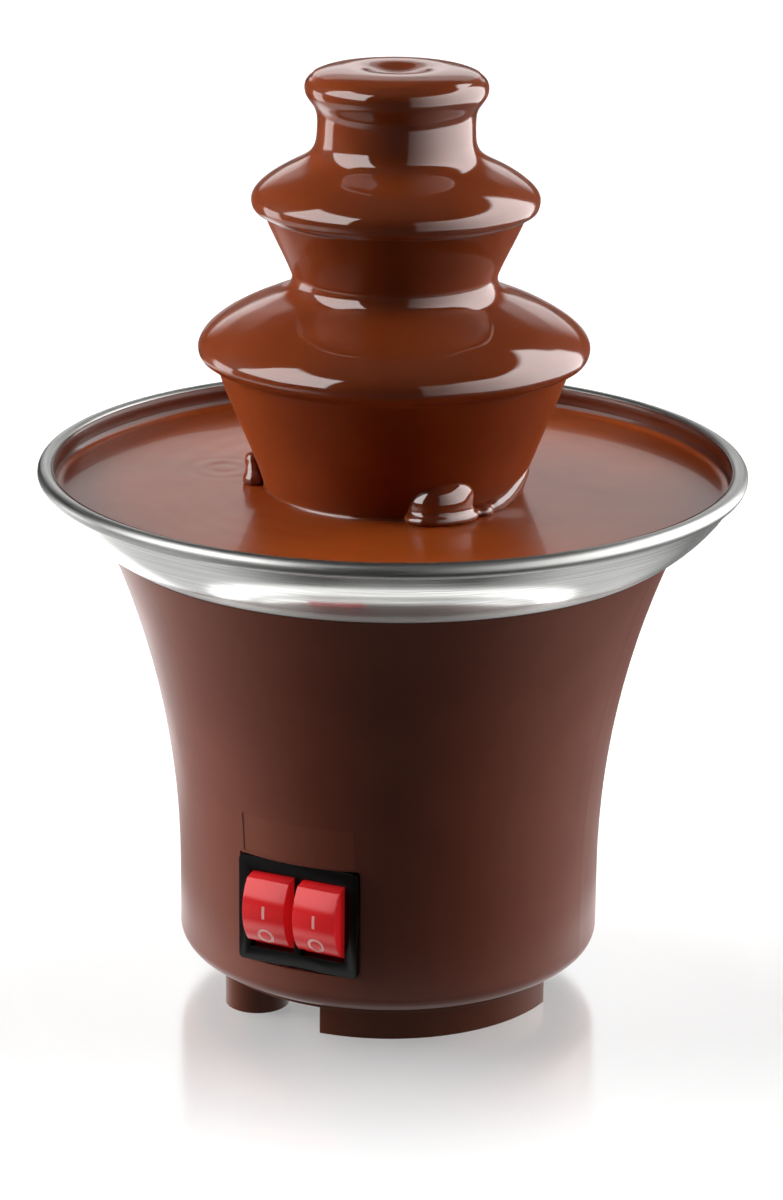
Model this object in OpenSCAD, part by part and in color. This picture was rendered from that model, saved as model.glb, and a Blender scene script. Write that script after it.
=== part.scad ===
// Tabletop chocolate fountain. A flared plastic base carries a steel bowl, a heater and a gear motor.
// An auger lifts melted chocolate up a stacked tower, and the chocolate falls back from tier to tier.
// Millimetres, +Z up. The origin is the middle of the footprint, on the table. The switch faces -Y.

/* [Bowl] */
// Diameter over the rolled rim, the widest size
rim_d = 170; // [164:1:176]
// Thickness of the rolled bead
bead_d = 3.8; // [3.2:0.1:4.4]
// Height of the bead's centre above the table
rim_z = 130.2; // [126:0.2:136]
// Drop from the bead's centre to the underside of the floor
bowl_drop = 22.2; // [20:0.2:24]
// Radius of the curved wall
bowl_arc_r = 40; // [36:1:44]
// Thickness of the bowl's sheet
sheet_t = 0.8; // [0.6:0.1:1]
// Depth of the pool's surface below the bead's centre
pool_drop = 4.2; // [3:0.2:7]

/* [Housing] */
// Outer radius of the housing at its foot
foot_r = 51.5; // [50:0.5:54]
// Outer radius of the housing where the bowl sits on it
collar_r = 68.2; // [66:0.2:70]
// Height of the feet
foot_h = 9.5; // [8:0.5:11]
// Height at which the wall begins to flare
flare_z = 30; // [26:1:36]
// Thickness of the housing's wall
wall = 2.2; // [1.8:0.1:2.6]
// Rounding of the bottom edge
edge_r = 5; // [4:0.5:6]
// Width of the bare label seat above the switch
label_w = 29; // [24:1:32]
// Height of the bare label seat
label_h = 9.8; // [8:0.2:12]

/* [Bottom cover] */
// Thickness of the cover
cover_t = 2.5; // [2:0.1:3]
// Outer radius of the two curved feet
arc_foot_r = 43.4; // [42:0.2:44]
// Thickness of the curved feet
arc_foot_t = 3; // [2.4:0.2:4]
// Sweep of one curved foot in degrees
arc_foot_sweep = 84; // [70:1:90]
// Radius of the small round feet
round_foot_r = 7.8; // [6.5:0.1:8.4]

/* [Switch] */
// Width of the bezel
bezel_w = 31; // [30:0.2:32]
// Height of the bezel
bezel_h = 26.5; // [25:0.5:28]
// Thickness of the bezel
bezel_t = 1.8; // [1.4:0.1:2.2]
// Height of the switch's middle above the table
switch_z = 32.6; // [31:0.2:36]
// Width of one rocker
rocker_w = 11; // [10.4:0.2:11.2]
// Distance between the rockers' middles
rocker_pitch = 13.2; // [13:0.1:13.6]
// Height of a rocker
rocker_h = 18.9; // [17.5:0.2:19.5]
// Angle of each rocker away from level at either stop
rocker_tilt = 8; // [6:0.5:9]

/* [Tower] */
// Bore of the tower's tube
tube_bore = 25.2; // [24.6:0.1:26]
// Outer radius of the tube at its foot
tube_r = 16.4; // [16:0.1:17]
// Step in radius at each seat on the tube
tube_step = 0.8; // [0.6:0.1:0.9]
// Radius of the flange the tower stands on
tower_foot_r = 21; // [20:0.5:22.5]
// Height of the lower skirt's lip above the table
lower_lip_z = 160.4; // [158:0.2:163]
// Radius of the chocolate at the lower lip
lower_lip_r = 46.8; // [44:0.2:49]
// Height of the upper skirt's lip above the table
upper_lip_z = 195.8; // [194:0.2:198]
// Radius of the chocolate at the upper lip
upper_lip_r = 34.2; // [32:0.2:36]
// Height of the crown's lip above the table
crown_lip_z = 222; // [220:0.2:225]
// Radius of the chocolate at the crown's lip
crown_lip_r = 21.8; // [21.2:0.2:23]
// Thickness of the chocolate over the skirts
coat_t = 2.4; // [2:0.1:2.8]
// Thickness of a skirt
skirt_t = 1.6; // [1.2:0.1:2]

/* [Drive] */
// Diameter of the drive shaft
shaft_d = 8; // [7.6:0.1:8.4]
// Pitch of the auger's flight
auger_pitch = 18; // [15:1:22]
// Thickness of the flight
flight_t = 1.8; // [1.4:0.1:2.4]
// Diameter of the gearbox
gearbox_d = 48; // [44:1:50]
// Height of the gearbox
gearbox_h = 22; // [18:1:24]
// Diameter of the motor
motor_d = 35; // [30:1:38]
// Height of the motor
motor_h = 28; // [24:1:30]

/* [Heater] */
// Thickness of the heat spreader
heater_t = 4; // [3:0.5:5]
// Outer radius of the heat spreader
heater_r = 46; // [44:0.5:47]
// Length of the sleeves between the clamp ring and the deck plate
sleeve_h = 12.3; // [11:0.1:14]

/* [Clearances] */
// Running fit of shafts and pivots, on the radius
run_gap = 0.05; // [0.03:0.01:0.08]
// Gap between pieces that slide past each other or lift off
lift_gap = 0.3; // [0.3:0.05:0.5]
// Gap of a seated piece that doesn't move
seat_gap = 0.1; // [0.05:0.05:0.2]

/* [Hidden] */
$fn = 96;
eps = 0.01;

// Bowl
rim_r = rim_d / 2;
bead_r = bead_d / 2;
bowl_z = rim_z - bowl_drop;
bowl_top_z = bowl_z + sheet_t;
bowl_arc_z = bowl_z + bowl_arc_r;
floor_r = rim_r - bead_r / 2 - sqrt(pow(bowl_arc_r, 2) - pow(bowl_arc_r - bowl_drop, 2));
pool_z = rim_z - pool_drop;
function bowl_under(r) = bowl_arc_z - sqrt(pow(bowl_arc_r, 2) - pow(r - floor_r, 2));

// Housing
collar_z = bowl_under(collar_r);
flare_r = (pow(collar_z - flare_z, 2) + pow(collar_r - foot_r, 2)) / (2 * (collar_r - foot_r));
function housing_r(z) = z < flare_z ? foot_r
  : foot_r + flare_r - sqrt(pow(flare_r, 2) - pow(z - flare_z, 2));
cover_r = foot_r - edge_r - lift_gap;
cover_lip = 1.5;
round_foot_at = cover_r - round_foot_r - 0.1;
cover_top_z = foot_h + cover_t;
rim_ledge_z = cover_top_z + seat_gap;
rim_ledge_t = 2;
post_r = 4.4;
post_h = 16;
vent_at = 12;
vent_l = 11;
vent_w = 2.2;
round_foot_angles = [-31, 149];
arc_foot_angles = [45, 225];

// Heater stack, downwards from the bowl's floor
ring_t = 1.2;
clamp_t = 1;
ring_top_z = bowl_z - heater_t;
clamp_top_z = ring_top_z - ring_t;
clamp_z = clamp_top_z - clamp_t;
deck_t = 1.5;
deck_top_z = clamp_z - sleeve_h;
deck_z = deck_top_z - deck_t;
deck_slack = 2.7;
deck_r = housing_r(deck_z) - wall - deck_slack;
deck_ledge_w = 5;
deck_ledge_r = deck_r - deck_ledge_w;
deck_ledge_t = 2.5;
deck_screw_at = deck_r - deck_ledge_w / 2;
stud_r = 2;
stud_at = 34;
stud_angles = [0, 120, 240];
nut_h = 3.2;
nut_r = 4.04;
sleeve_r = 4;

// Drive
shaft_r = shaft_d / 2;
gearbox_z = deck_z - gearbox_h;
motor_z = gearbox_z - motor_h;
motor_cap_t = 3;
motor_ear_at = 30;
motor_ear_r = 5;
motor_ear_t = 2.5;
gearbox_boss_r = 8.5;
screw_end = 1.5;
motor_tab_x = 10;
motor_tab_drop = 5;
shaft_z = gearbox_z + 4;
bush_r = 7;
bush_flange_r = 11;
bush_flange_t = 2;
bush_h = 9;
bush_nut_h = 5;
bush_nut_r = 11;
seal_t = 3;
auger_z = bowl_top_z + bush_flange_t + seal_t + lift_gap;
auger_hub_h = 20;
auger_hub_r = 7.5;
auger_socket = 16;
auger_core_r = 4.5;
shaft_flat = shaft_r * 0.76;

// Tower, with one seat on the tube for each piece that slips over it
bore_r = tube_bore / 2;
auger_r = bore_r - 0.5;
lower_tube_r = tube_r - tube_step;
upper_tube_r = lower_tube_r - tube_step;
crown_tube_r = upper_tube_r - tube_step;
lower_seat_z = lower_lip_z + 5.6;
upper_seat_z = upper_lip_z + 1.8;
crown_seat_z = crown_lip_z - 12.4;
tube_top_z = crown_lip_z - 6.4;
tower_foot_t = 2.5;
window_h = 10;
window_w = 14;
peg_r = 1.3;
peg_at = (tube_r + tower_foot_r) / 2;
peg_angles = [60, 180, 300];
flight_top_z = tube_top_z - 8;
auger_top_z = tube_top_z - 1;

label_depth = 0.15;
label_gap = 0.9;

// Switch
land_y = sqrt(pow(foot_r, 2) - pow(bezel_w / 2 + lift_gap, 2));
land_t = 2.4;
chamber_w = rocker_w + 2 * lift_gap;
chamber_h = rocker_h + 2 * lift_gap;
frame_wall = 1.2;
frame_w = rocker_pitch + chamber_w + 2 * frame_wall;
frame_h = chamber_h + 2 * frame_wall;
frame_depth = 18;
back_t = 2;
bezel_corner_r = 1.2;
pivot_in = 0.2;
pivot_r = 1.3;
rocker_rise = 5;
blade_w = 4.8;
blade_t = 0.8;
blade_drop = 6.4;
blade_in = 13;
blade_out = 26;

// Cord entry
cord_r = 3.5;
cord_z = 25;
gland_r = 6;
gland_flange_r = 8;

// Small fasteners
screw_r = 1.45;
screw_head_r = 3;
screw_head_h = 2.2;
screw_hole_r = screw_r + 0.3;
cover_screw_h = 16;
motor_screw_r = 1.9;
motor_hole_r = motor_screw_r + 0.2;
motor_head_r = 3.6;
motor_head_h = 2.4;

// Terminal block, on the cover
block_w = 26;
block_d = 12;
block_h = 12;
block_y = 22;

function bez(p, a, b, q, n) = [for (i = [0:n]) let (t = i / n, s = 1 - t)
  s * s * s * p + 3 * s * s * t * a + 3 * s * t * t * b + t * t * t * q];
function turned(list) = [for (i = [len(list) - 1:-1:0]) list[i]];

// Angles around the base run from the front (-Y) towards +X.
module around(list) {
  for (a = list) rotate([0, 0, a - 90]) children();
}

// Skirt and fall shapes share these curves, so that chocolate lies on its skirt without overlap.
function over(r0, z0, r1, z1, n) = bez([r0, z0], [r0 + (r1 - r0) * 0.4, z0 - (z0 - z1) * 0.2],
  [r1, z1 + (z0 - z1) * 0.37], [r1, z1], n);
function curl(r0, z0, r1, z1, n) = bez([r0, z0], [r0, z0 - (z0 - z1) * 0.45],
  [r1 + (r0 - r1) * 0.25, z1 + (z0 - z1) * 0.4], [r1, z1], n);
function fall(r0, z0, r1, z1, n) = bez([r0, z0], [r0 - (r0 - r1) * 0.2, z0 - (z0 - z1) * 0.18],
  [r1 + (r0 - r1) * 0.18, z1 + (z0 - z1) * 0.25], [r1, z1], n);
lower_rise = 16.6;
upper_rise = 11.8;
fall_t = 2.3;
hub_t = 2.4;
lower_fall_r = lower_lip_r - 4.6;
lower_fall_z = lower_lip_z - 5.4;
lower_end_r = 31;
lower_end_z = pool_z + lift_gap;
upper_fall_r = upper_lip_r - 3.3;
upper_fall_z = upper_lip_z - 3.6;
upper_end_r = 24.8;
upper_end_z = lower_lip_z + lower_rise - 1.9;
neck_r = 19;
neck_end_z = upper_lip_z + upper_rise - 0.5;

// A thin skirt with a hub, as a half section.
module skirt_2d(hub_r, seat_z, rise, lip_r, lip_z) {
  polygon(concat(
    over(hub_r, lip_z + rise - coat_t, lip_r - coat_t, lip_z, 12),
    turned(over(hub_r + hub_t, lip_z + rise - coat_t - skirt_t, lip_r - coat_t - skirt_t, lip_z, 12)),
    [[hub_r + hub_t, seat_z], [hub_r, seat_z]]));
}

// Chocolate over a skirt and hanging from its lip, as a half section.
module fall_2d(hub_r, rise, lip_r, lip_z, hang_r, hang_z, end_r, end_z) {
  polygon(concat(
    over(hub_r, lip_z + rise, lip_r, lip_z, 14),
    curl(lip_r, lip_z, hang_r, hang_z, 6),
    fall(hang_r, hang_z, end_r, end_z, 8),
    turned(fall(hang_r - fall_t, hang_z, end_r - fall_t, end_z, 8)),
    [[lip_r - coat_t - skirt_t, lip_z]],
    turned(over(hub_r, lip_z + rise - coat_t, lip_r - coat_t, lip_z, 12))));
}

// A round wire through chosen points, smoothed between them.
wire_r = 1;
wire_sides = 8;
wire_steps = 5;
wire_stub = 4.4;
function bend(a, b, u, v, t) = (2 * t * t * t - 3 * t * t + 1) * a + (t * t * t - 2 * t * t + t) * u
  + (3 * t * t - 2 * t * t * t) * b + (t * t * t - t * t) * v;
function leg(p, i) = let (k = max(0, min(i, len(p) - 2))) unit(p[k + 1] - p[k]);
function heading(p, i) = unit(leg(p, i - 1) + leg(p, i));
function span(p, i) = let (reach = norm(p[i + 1] - p[i])) [for (s = [0:wire_steps - 1])
  bend(p[i], p[i + 1], reach * heading(p, i), reach * heading(p, i + 1), s / wire_steps)];
function path(p) = concat([for (i = [0:len(p) - 2]) each span(p, i)], [p[len(p) - 1]]);
function unit(v) = v / norm(v);
function across(d) = unit(cross(d, abs(d[0]) < 0.8 ? [1, 0, 0] : [0, 1, 0]));
function carry(d, u) = unit(u - d * (d * u));
function frames(d, i, u) = i == len(d) ? [] : let (w = carry(d[i], u)) concat([w], frames(d, i + 1, w));

// A wire leaves what it is joined to square to the face, so its first points run straight out along n.
function leave(p, n) = [for (d = [0, 2 * wire_r, wire_stub]) p + n * d];
function meet(p, n) = turned(leave(p, n));
module wire(points) {
  line = path(points);
  n = len(line);
  ahead = [for (i = [0:n - 1]) unit(line[min(i + 1, n - 1)] - line[max(i - 1, 0)])];
  side = frames(ahead, 0, across(ahead[0]));
  rings = [for (i = [0:n - 1]) for (k = [0:wire_sides - 1]) let (a = 360 * k / wire_sides)
    line[i] + wire_r * (cos(a) * side[i] + sin(a) * cross(ahead[i], side[i]))];
  faces = concat([[for (k = [0:wire_sides - 1]) k]],
    [for (i = [0:n - 2]) for (k = [0:wire_sides - 1]) let (a = i * wire_sides, j = (k + 1) % wire_sides)
      each [[a + k, a + wire_sides + k, a + j], [a + j, a + wire_sides + k, a + wire_sides + j]]],
    [[for (k = [wire_sides - 1:-1:0]) (n - 1) * wire_sides + k]]);
  polyhedron(rings, faces);
}

module ring(r0, r1, z0, z1) {
  difference() {
    translate([0, 0, z0]) cylinder(r = r1, h = z1 - z0);
    translate([0, 0, z0 - 1]) cylinder(r = r0, h = z1 - z0 + 2);
  }
}

module housing_2d() {
  difference() {
    union() {
      intersection() {
        translate([foot_r + flare_r, flare_z]) difference() {
          circle(r = flare_r + wall, $fn = 360);
          circle(r = flare_r, $fn = 360);
        }
        translate([foot_r - wall - 1, flare_z])
          square([collar_r - foot_r + wall + 6, collar_z + 2 - flare_z]);
      }
      translate([foot_r - wall, foot_h + edge_r]) square([wall, flare_z - foot_h - edge_r]);
      intersection() {
        translate([foot_r - edge_r, foot_h + edge_r]) difference() {
          circle(r = edge_r);
          circle(r = edge_r - wall);
        }
        translate([foot_r - edge_r, foot_h]) square([edge_r, edge_r]);
      }
      translate([cover_r - 2.4, rim_ledge_z]) square([foot_r - wall + 0.4 - cover_r + 2.4, rim_ledge_t]);
      translate([deck_ledge_r, deck_z - deck_ledge_t])
        square([housing_r(deck_z - deck_ledge_t) - wall / 2 - deck_ledge_r, deck_ledge_t]);
    }
    translate([floor_r, bowl_arc_z]) circle(r = bowl_arc_r + seat_gap, $fn = 240);
  }
}

module base_housing() {
  color([0.30, 0.17, 0.12])
  difference() {
    union() {
      rotate_extrude() housing_2d();
      intersection() {
        translate([-bezel_w / 2 - 2, -land_y, switch_z - bezel_h / 2 - 3])
          cube([bezel_w + 4, land_t, bezel_h + 6]);
        cylinder(r = foot_r - 0.2, h = rim_z);
      }
      around(round_foot_angles) {
        translate([round_foot_at, 0, rim_ledge_z]) cylinder(r = post_r, h = post_h);
        translate([round_foot_at, -1, rim_ledge_z]) cube([foot_r - wall / 2 - round_foot_at, 2, post_h - 2]);
      }
    }
    translate([-bezel_w / 2 - lift_gap, -land_y - 20, switch_z - bezel_h / 2 - lift_gap])
      cube([bezel_w + 2 * lift_gap, 20, bezel_h + 2 * lift_gap]);
    translate([-frame_w / 2 - seat_gap, -land_y - 5, switch_z - frame_h / 2 - seat_gap])
      cube([frame_w + 2 * seat_gap, 15, frame_h + 2 * seat_gap]);
    intersection() {
      rotate_extrude() translate([foot_r + flare_r, flare_z]) difference() {
        circle(r = flare_r + label_depth, $fn = 360);
        circle(r = flare_r - 1, $fn = 360);
      }
      translate([-label_w / 2, -foot_r - 10, switch_z + bezel_h / 2 + label_gap])
        cube([label_w, 30, label_h]);
    }
    translate([0, 0, cord_z]) rotate([-90, 0, 0]) cylinder(r = gland_r + seat_gap, h = foot_r + 5);
    around(round_foot_angles) translate([round_foot_at, 0, rim_ledge_z - 1])
      cylinder(r = screw_r + seat_gap, h = post_h - 2);
    around(stud_angles) translate([deck_screw_at, 0, deck_z - 5]) cylinder(r = screw_hole_r, h = 10);
  }
}

module bottom_cover() {
  color([0.20, 0.10, 0.07])
  difference() {
    union() {
      translate([0, 0, foot_h - cover_lip]) cylinder(r = cover_r, h = cover_t + cover_lip);
      around(arc_foot_angles) rotate([0, 0, -arc_foot_sweep / 2]) rotate_extrude(angle = arc_foot_sweep)
        translate([arc_foot_r - arc_foot_t, 0]) square([arc_foot_t, foot_h + 1]);
      around(round_foot_angles) translate([round_foot_at, 0, 0]) cylinder(r = round_foot_r, h = foot_h + 1);
    }
    around(round_foot_angles) translate([round_foot_at, 0, -1]) {
      cylinder(r = screw_head_r + 0.8, h = foot_h - 2.5);
      cylinder(r = screw_hole_r, h = foot_h + cover_t + 3);
    }
    for (a = [0:30:330]) rotate([0, 0, a]) translate([vent_at, -vent_w / 2, foot_h - 3])
      cube([vent_l, vent_w, cover_t + 5]);
  }
}

module cover_screws() {
  color([0.75, 0.75, 0.76])
  around(round_foot_angles) translate([round_foot_at, 0, foot_h - 3.5]) {
    translate([0, 0, -screw_head_h]) cylinder(r = screw_head_r, h = screw_head_h);
    cylinder(r = screw_r, h = cover_screw_h);
  }
}

module cord_grommet() {
  inner_y = sqrt(pow(foot_r - wall, 2) - pow(gland_flange_r, 2)) - seat_gap;
  color([0.08, 0.08, 0.08])
  translate([0, 0, cord_z]) rotate([-90, 0, 0]) difference() {
    union() {
      translate([0, 0, inner_y - 2]) cylinder(r = gland_flange_r, h = 2);
      translate([0, 0, inner_y - 1]) cylinder(r = gland_r, h = foot_r + seat_gap + 2 - inner_y);
      translate([0, 0, foot_r + seat_gap]) cylinder(r = gland_flange_r, h = 2);
    }
    translate([0, 0, inner_y - 5]) cylinder(r = cord_r, h = 20);
  }
}

module bowl() {
  color([0.80, 0.80, 0.80])
  difference() {
    rotate_extrude() {
      intersection() {
        translate([floor_r, bowl_arc_z]) difference() {
          circle(r = bowl_arc_r, $fn = 240);
          circle(r = bowl_arc_r - sheet_t, $fn = 240);
        }
        translate([floor_r, bowl_z]) square([rim_r, bowl_drop]);
      }
      translate([bush_r, bowl_z]) square([floor_r - bush_r, sheet_t]);
      translate([rim_r - bead_r, rim_z]) circle(r = bead_r, $fn = 32);
    }
    translate([0, 0, bowl_z - 1]) cylinder(r = bush_r + seat_gap, h = 3);
  }
}

module bowl_studs() {
  color([0.70, 0.70, 0.70])
  around(stud_angles) translate([stud_at, 0, deck_z - nut_h - screw_end])
    cylinder(r = stud_r, h = bowl_z - deck_z + nut_h + screw_end);
}

module tower_pegs() {
  color([0.75, 0.75, 0.75])
  around(peg_angles) translate([peg_at, 0, bowl_top_z]) cylinder(r = peg_r, h = tower_foot_t + 1.5);
}

module stud_holes(z0, z1) {
  around(stud_angles) translate([stud_at, 0, z0 - 1]) cylinder(r = stud_r + 0.2, h = z1 - z0 + 2);
}

module heater_plate() {
  color([0.72, 0.73, 0.75])
  difference() {
    ring(18, heater_r, ring_top_z, bowl_z);
    stud_holes(ring_top_z, bowl_z);
  }
}

module heater_ring() {
  color([0.55, 0.48, 0.36])
  difference() {
    ring(20, heater_r - 2, clamp_top_z, ring_top_z);
    stud_holes(clamp_top_z, ring_top_z);
  }
}

// Directions of the two heater tabs
tab_angles = [44, 56];
module heater_tabs() {
  color([0.78, 0.62, 0.28])
  around(tab_angles) translate([heater_r - 2 + seat_gap, -2, clamp_top_z + 0.2])
    cube([8, 4, 0.8]);
}

module heater_clamp() {
  color([0.66, 0.66, 0.66])
  difference() {
    ring(22, heater_r - 3, clamp_z, clamp_top_z);
    stud_holes(clamp_z, clamp_top_z);
  }
}

// Directions of the thermostat and the fuse under the clamp ring
thermostat_angle = 150;
fuse_angle = 84;
under_at = 33;
thermostat_r = 7.5;
thermostat_h = 7;
module thermostat() {
  color([0.12, 0.12, 0.12])
  around([thermostat_angle]) translate([under_at, 0, clamp_z - thermostat_h]) {
    cylinder(r = thermostat_r, h = thermostat_h);
    translate([-blade_half, -thermostat_r - 5, 2]) cube([2 * blade_half, 2 * thermostat_r + 10, 0.8]);
  }
}

fuse_r = 2;
module thermal_fuse() {
  color([0.85, 0.83, 0.78])
  around([fuse_angle]) translate([under_at, 0, clamp_z - fuse_r - seat_gap]) rotate([90, 0, 0]) {
    translate([0, 0, -6]) cylinder(r = fuse_r, h = 12);
    translate([0, 0, -11]) cylinder(r = 0.5, h = 22);
  }
}

module stud_sleeves() {
  color([0.70, 0.70, 0.70])
  around(stud_angles) translate([stud_at, 0, 0]) ring(stud_r + seat_gap, sleeve_r, deck_top_z, clamp_z);
}

module stud_nuts() {
  color([0.70, 0.70, 0.70])
  around(stud_angles) translate([stud_at, 0, deck_z - nut_h]) difference() {
    cylinder(r = nut_r, h = nut_h, $fn = 6);
    translate([0, 0, -1]) cylinder(r = stud_r + seat_gap, h = nut_h + 2);
  }
}

// Directions of the two holes that wires take through the deck plate
deck_hole_angles = [50, 172];
deck_hole_at = 42;
deck_hole_r = 6;
module deck_plate() {
  color([0.60, 0.61, 0.62])
  difference() {
    ring(gearbox_boss_r + 0.2, deck_r, deck_z, deck_top_z);
    stud_holes(deck_z, deck_top_z);
    around(stud_angles) translate([deck_screw_at, 0, deck_z - 1])
      cylinder(r = screw_r + seat_gap, h = deck_t + 2);
    around(deck_hole_angles) translate([deck_hole_at, 0, deck_z - 1])
      cylinder(r = deck_hole_r, h = deck_t + 2);
    for (s = [-1, 1]) translate([s * motor_ear_at, 0, deck_z - 1])
      cylinder(r = motor_hole_r, h = deck_t + 2);
  }
}

module deck_screws() {
  color([0.75, 0.75, 0.76])
  around(stud_angles) translate([deck_screw_at, 0, deck_z - deck_ledge_t]) {
    translate([0, 0, -screw_head_h]) cylinder(r = screw_head_r, h = screw_head_h);
    cylinder(r = screw_r, h = deck_ledge_t + deck_t + 1);
  }
}

module gearbox() {
  color([0.45, 0.46, 0.48])
  difference() {
    union() {
      translate([0, 0, gearbox_z]) cylinder(r = gearbox_d / 2, h = gearbox_h);
      translate([0, 0, deck_z - eps]) cylinder(r = gearbox_boss_r, h = deck_t);
      translate([-motor_ear_at, -motor_ear_r, deck_z - motor_ear_t])
        cube([2 * motor_ear_at, 2 * motor_ear_r, motor_ear_t]);
      for (s = [-1, 1]) translate([s * motor_ear_at, 0, deck_z - motor_ear_t])
        cylinder(r = motor_ear_r, h = motor_ear_t);
    }
    translate([0, 0, shaft_z - 0.5]) cylinder(r = shaft_r + run_gap, h = gearbox_h + 10);
    for (s = [-1, 1]) translate([s * motor_ear_at, 0, deck_z - 5])
      cylinder(r = motor_hole_r, h = 10);
  }
}

module motor_can() {
  color([0.68, 0.68, 0.70])
  translate([0, 0, motor_z]) cylinder(r = motor_d / 2, h = motor_h);
}

module motor_cap() {
  color([0.10, 0.10, 0.10])
  difference() {
    union() {
      translate([0, 0, motor_z - motor_cap_t]) cylinder(r = motor_d / 2 - 1, h = motor_cap_t);
      translate([0, 0, motor_z - motor_cap_t - 2.5]) cylinder(r = 5, h = 3);
    }
    for (s = [-1, 1]) translate([s * motor_tab_x - 0.5, -2.5, motor_z - motor_cap_t - 1])
      cube([1, 5, motor_cap_t + 1]);
  }
}

module motor_tabs() {
  color([0.78, 0.62, 0.28])
  for (s = [-1, 1]) translate([s * motor_tab_x - 0.4, -2.4, motor_z - motor_cap_t - motor_tab_drop])
    cube([0.8, 4.8, motor_cap_t + motor_tab_drop - seat_gap]);
}

module motor_screws() {
  color([0.75, 0.75, 0.76])
  for (s = [-1, 1]) translate([s * motor_ear_at, 0, 0]) {
    translate([0, 0, deck_top_z]) cylinder(r = motor_head_r, h = motor_head_h);
    translate([0, 0, deck_z - motor_ear_t - nut_h - screw_end])
      cylinder(r = motor_screw_r, h = deck_t + motor_ear_t + nut_h + screw_end);
  }
}

module motor_nuts() {
  color([0.70, 0.70, 0.70])
  for (s = [-1, 1]) translate([s * motor_ear_at, 0, deck_z - motor_ear_t - nut_h]) difference() {
    cylinder(r = nut_r, h = nut_h, $fn = 6);
    translate([0, 0, -1]) cylinder(r = motor_screw_r + seat_gap, h = nut_h + 2);
  }
}

module shaft_bush() {
  color([0.80, 0.64, 0.32])
  difference() {
    union() {
      translate([0, 0, bowl_z - bush_h]) cylinder(r = bush_r, h = bush_h + sheet_t + bush_flange_t);
      translate([0, 0, bowl_top_z]) cylinder(r = bush_flange_r, h = bush_flange_t);
    }
    translate([0, 0, bowl_z - bush_h - 1]) cylinder(r = shaft_r + run_gap, h = 20);
  }
}

module bush_nut() {
  color([0.80, 0.64, 0.32])
  difference() {
    translate([0, 0, bowl_z - bush_nut_h]) cylinder(r = bush_nut_r, h = bush_nut_h, $fn = 6);
    translate([0, 0, bowl_z - bush_nut_h - 1]) cylinder(r = bush_r + seat_gap, h = bush_nut_h + 2);
  }
}

module shaft_seal() {
  color([0.85, 0.85, 0.82])
  ring(shaft_r + run_gap, bush_flange_r - 2, bowl_top_z + bush_flange_t, bowl_top_z + bush_flange_t + seal_t);
}

module drive_shaft() {
  color([0.75, 0.75, 0.76]) {
    translate([0, 0, shaft_z]) cylinder(r = shaft_r, h = auger_z - shaft_z + 1);
    intersection() {
      translate([0, 0, auger_z]) cylinder(r = shaft_r, h = auger_socket - seat_gap);
      translate([-shaft_r, -shaft_flat, auger_z]) cube([2 * shaft_r, 2 * shaft_flat, auger_socket]);
    }
  }
}

// The flight, a helical web whose inner edge is buried in the core.
flight_steps = 20;
module flight(z0, z1, r0, r1) {
  n = floor((z1 - z0) / auger_pitch * flight_steps);
  step = (z1 - z0) / n;
  corners = [for (i = [0:n]) let (a = 360 * i * step / auger_pitch, z = z0 + i * step, c = cos(a), s = sin(a))
    each [[r0 * c, r0 * s, z], [r1 * c, r1 * s, z],
      [r1 * c, r1 * s, z + flight_t], [r0 * c, r0 * s, z + flight_t]]];
  faces = concat([[3, 2, 1, 0]],
    [for (i = [0:n - 1]) for (k = [0:3]) let (a = 4 * i, j = (k + 1) % 4)
      each [[a + k, a + 4 + j, a + 4 + k], [a + k, a + j, a + 4 + j]]],
    [[4 * n, 4 * n + 1, 4 * n + 2, 4 * n + 3]]);
  polyhedron(corners, faces);
}

module auger() {
  color([0.90, 0.88, 0.84])
  difference() {
    union() {
      translate([0, 0, auger_z]) cylinder(r = auger_hub_r, h = auger_hub_h);
      translate([0, 0, auger_z]) cylinder(r = auger_core_r, h = auger_top_z - auger_core_r - auger_z);
      translate([0, 0, auger_top_z - auger_core_r]) sphere(r = auger_core_r);
      flight(auger_z + 1, flight_top_z, auger_core_r - 1.5, auger_r);
    }
    intersection() {
      translate([0, 0, auger_z - 1]) cylinder(r = shaft_r + run_gap, h = auger_socket + 1);
      translate([-shaft_r - 1, -shaft_flat - run_gap, auger_z - 2])
        cube([2 * shaft_r + 2, 2 * (shaft_flat + run_gap), auger_socket + 2]);
    }
    translate([0, 0, auger_z - 1]) cylinder(r = shaft_r + run_gap, h = 2 + run_gap);
  }
}

module tower_tube() {
  color([0.85, 0.85, 0.85])
  difference() {
    rotate_extrude() polygon([[bore_r, bowl_top_z], [tower_foot_r, bowl_top_z],
      [tower_foot_r, bowl_top_z + tower_foot_t], [tube_r, bowl_top_z + tower_foot_t], [tube_r, lower_seat_z],
      [lower_tube_r, lower_seat_z], [lower_tube_r, upper_seat_z], [upper_tube_r, upper_seat_z],
      [upper_tube_r, crown_seat_z], [crown_tube_r, crown_seat_z], [crown_tube_r, tube_top_z],
      [bore_r, tube_top_z]]);
    for (a = [0, 120, 240]) rotate([0, 0, a]) translate([0, -window_w / 2, bowl_top_z + tower_foot_t])
      cube([tube_r + 5, window_w, window_h]);
    around(peg_angles) translate([peg_at, 0, bowl_top_z - 1])
      cylinder(r = peg_r + lift_gap, h = tower_foot_t + 2);
  }
}

module lower_skirt() {
  color([0.85, 0.85, 0.85])
  rotate_extrude() skirt_2d(lower_tube_r + run_gap, lower_seat_z, lower_rise, lower_lip_r, lower_lip_z);
}

module upper_skirt() {
  color([0.85, 0.85, 0.85])
  rotate_extrude() skirt_2d(upper_tube_r + run_gap, upper_seat_z, upper_rise, upper_lip_r, upper_lip_z);
}

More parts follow.
